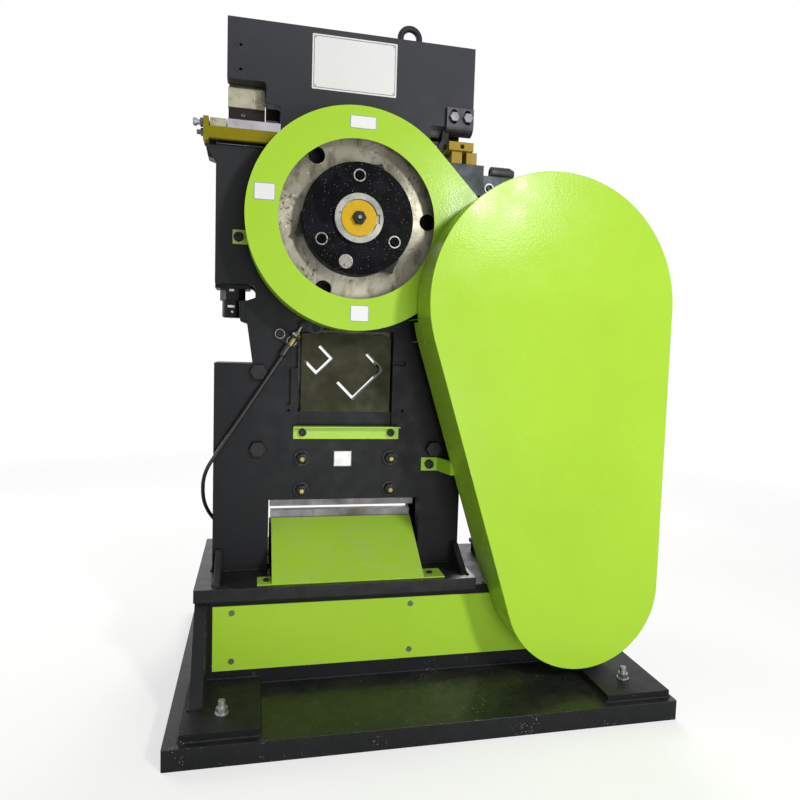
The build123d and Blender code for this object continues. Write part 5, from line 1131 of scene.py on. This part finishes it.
class MACHINE_OT_stage(bpy.types.Operator):
    """Set the pale floor, the lamps, the world and the camera."""

    bl_idname = "machine.stage"
    bl_label = "Stage"

    def execute(self, context):
        stage = context.scene.machine_stage
        self.lay_floor(stage.floor_radius)
        for name, place, height, setting, share, size in LAMPS:
            self.hang_lamp(name, Vector(place), Vector((0, 0, height)), getattr(stage, setting) * share, size)
        self.light_world(context, stage.world_light)
        self.place_camera(context)
        context.scene.view_settings.view_transform = "Standard"
        return {"FINISHED"}

    def lay_floor(self, radius):
        """A round pale floor that fades into the background."""
        shape = bmesh.new()
        bmesh.ops.create_circle(shape, cap_ends=True, radius=radius, segments=96)
        mesh = bpy.data.meshes.new("floor")
        shape.to_mesh(mesh)
        shape.free()
        floor = placed("floor", mesh)
        material, tree, place = start_material("pale_floor")
        tone = coats(tree, "#B9B9B7", ("#C1C1BF", cloud(tree, place, 0.9, 0.3, 0.7)))
        diffuse = add(tree, "ShaderNodeBsdfPrincipled", {"Base Color": tone, "Roughness": 0.75})
        eye = add(tree, "ShaderNodeLightPath", output="Is Camera Ray")
        level = add(tree, "ShaderNodeMath", (eye, FLOOR_GLOW), operation="MULTIPLY")
        lit = add(tree, "ShaderNodeAddShader", (diffuse, add(tree, "ShaderNodeEmission", ("#FFFFFF", level))))
        reach = add(tree, "ShaderNodeVectorMath", (place,), "Value", operation="LENGTH")
        fade = add(tree, "ShaderNodeMapRange", (reach, FLOOR_FADE_START, radius * FLOOR_FADE_END))
        mixed = add(tree, "ShaderNodeMixShader", (fade, lit, add(tree, "ShaderNodeBsdfTransparent")))
        add(tree, "ShaderNodeOutputMaterial", (mixed,), None)
        mesh.materials.append(material)

    def hang_lamp(self, name, place, target, power, size):
        """A square area lamp turned towards a point."""
        lamp = bpy.data.lights.new(name, "AREA")
        lamp.energy = power
        lamp.size = size
        holder = placed(name, lamp)
        holder.location = place
        holder.rotation_euler = (target - place).to_track_quat("-Z", "Y").to_euler()

    def light_world(self, context, strength):
        """An even light from all round, which the eye and reflections see as white."""
        context.scene.world = bpy.data.worlds.new("studio")
        tree = emptied(context.scene.world)
        rays = add(tree, "ShaderNodeLightPath", output=None)
        seen = rays["Is Camera Ray"]
        for ray in ("Is Glossy Ray", "Is Transmission Ray"):
            seen = add(tree, "ShaderNodeMath", (seen, rays[ray]), operation="MAXIMUM")
        level = add(tree, "ShaderNodeMapRange", (seen, 0, 1, strength, 1.0))
        sky = add(tree, "ShaderNodeBackground", ("#FFFFFF", level))
        add(tree, "ShaderNodeOutputWorld", (sky,), None)

    def place_camera(self, context):
        """The camera at the photograph's angle, for a square frame."""
        yaw, pitch, roll = (math.radians(angle) for angle in CAMERA_TURN)
        ahead = Vector((math.sin(yaw) * math.cos(pitch), math.cos(yaw) * math.cos(pitch), math.sin(pitch)))
        level = Vector((math.cos(yaw), -math.sin(yaw), 0))
        above = level.cross(ahead)
        right = level * math.cos(roll) + above * math.sin(roll)
        up = above * math.cos(roll) - level * math.sin(roll)
        lens = bpy.data.cameras.new("camera")
        lens.sensor_width = 36.0
        lens.lens = FOCAL_LENGTH / FRAME_WIDTH * lens.sensor_width
        lens.clip_start = 0.05
        lens.clip_end = 60.0
        camera = placed("camera", lens)
        turned = Matrix((right, up, -ahead)).transposed().to_4x4()
        camera.matrix_world = Matrix.Translation(CAMERA_PLACE) @ turned
        context.scene.camera = camera


OPERATORS = (
    MACHINE_OT_paint_parts,
    MACHINE_OT_blank_plates,
    MACHINE_OT_weld_beads,
    MACHINE_OT_guard_seams,
    MACHINE_OT_seat_nuts,
    MACHINE_OT_cover_heads,
    MACHINE_OT_disc_lugs,
    MACHINE_OT_bar_table,
    MACHINE_OT_notch_station,
    MACHINE_OT_small_marks,
    MACHINE_OT_stud_ends,
    MACHINE_OT_fan_grille,
    MACHINE_OT_control_wire,
    MACHINE_OT_stage,
)


class MACHINE_PT_panel(bpy.types.Panel):
    """The steps of the machine and its sizes and colours."""

    bl_label = "Punching and shearing machine"
    bl_idname = "MACHINE_PT_panel"
    bl_space_type = "VIEW_3D"
    bl_region_type = "UI"
    bl_category = "Machine"

    def draw(self, context):
        for operator in OPERATORS:
            self.layout.operator(operator.bl_idname)
        for group in (context.scene.machine_finish, context.scene.machine_hardware, context.scene.machine_stage):
            box = self.layout.box()
            for name in group.__annotations__:
                box.prop(group, name)


CLASSES = (FinishSettings, HardwareSettings, StageSettings, *OPERATORS, MACHINE_PT_panel)


def register():
    """Registers the classes and hangs the settings on the scene."""
    for item in CLASSES:
        bpy.utils.register_class(item)
    bpy.types.Scene.machine_finish = bpy.props.PointerProperty(type=FinishSettings)
    bpy.types.Scene.machine_hardware = bpy.props.PointerProperty(type=HardwareSettings)
    bpy.types.Scene.machine_stage = bpy.props.PointerProperty(type=StageSettings)


def unregister():
    """Takes the settings and the classes away again."""
    del bpy.types.Scene.machine_stage
    del bpy.types.Scene.machine_hardware
    del bpy.types.Scene.machine_finish
    for item in reversed(CLASSES):
        bpy.utils.unregister_class(item)


def main():
    """Makes every piece in turn."""
    register()
    for operator in OPERATORS:
        group, name = operator.bl_idname.split(".")
        getattr(getattr(bpy.ops, group), name)()


if __name__ == "__main__":
    main()
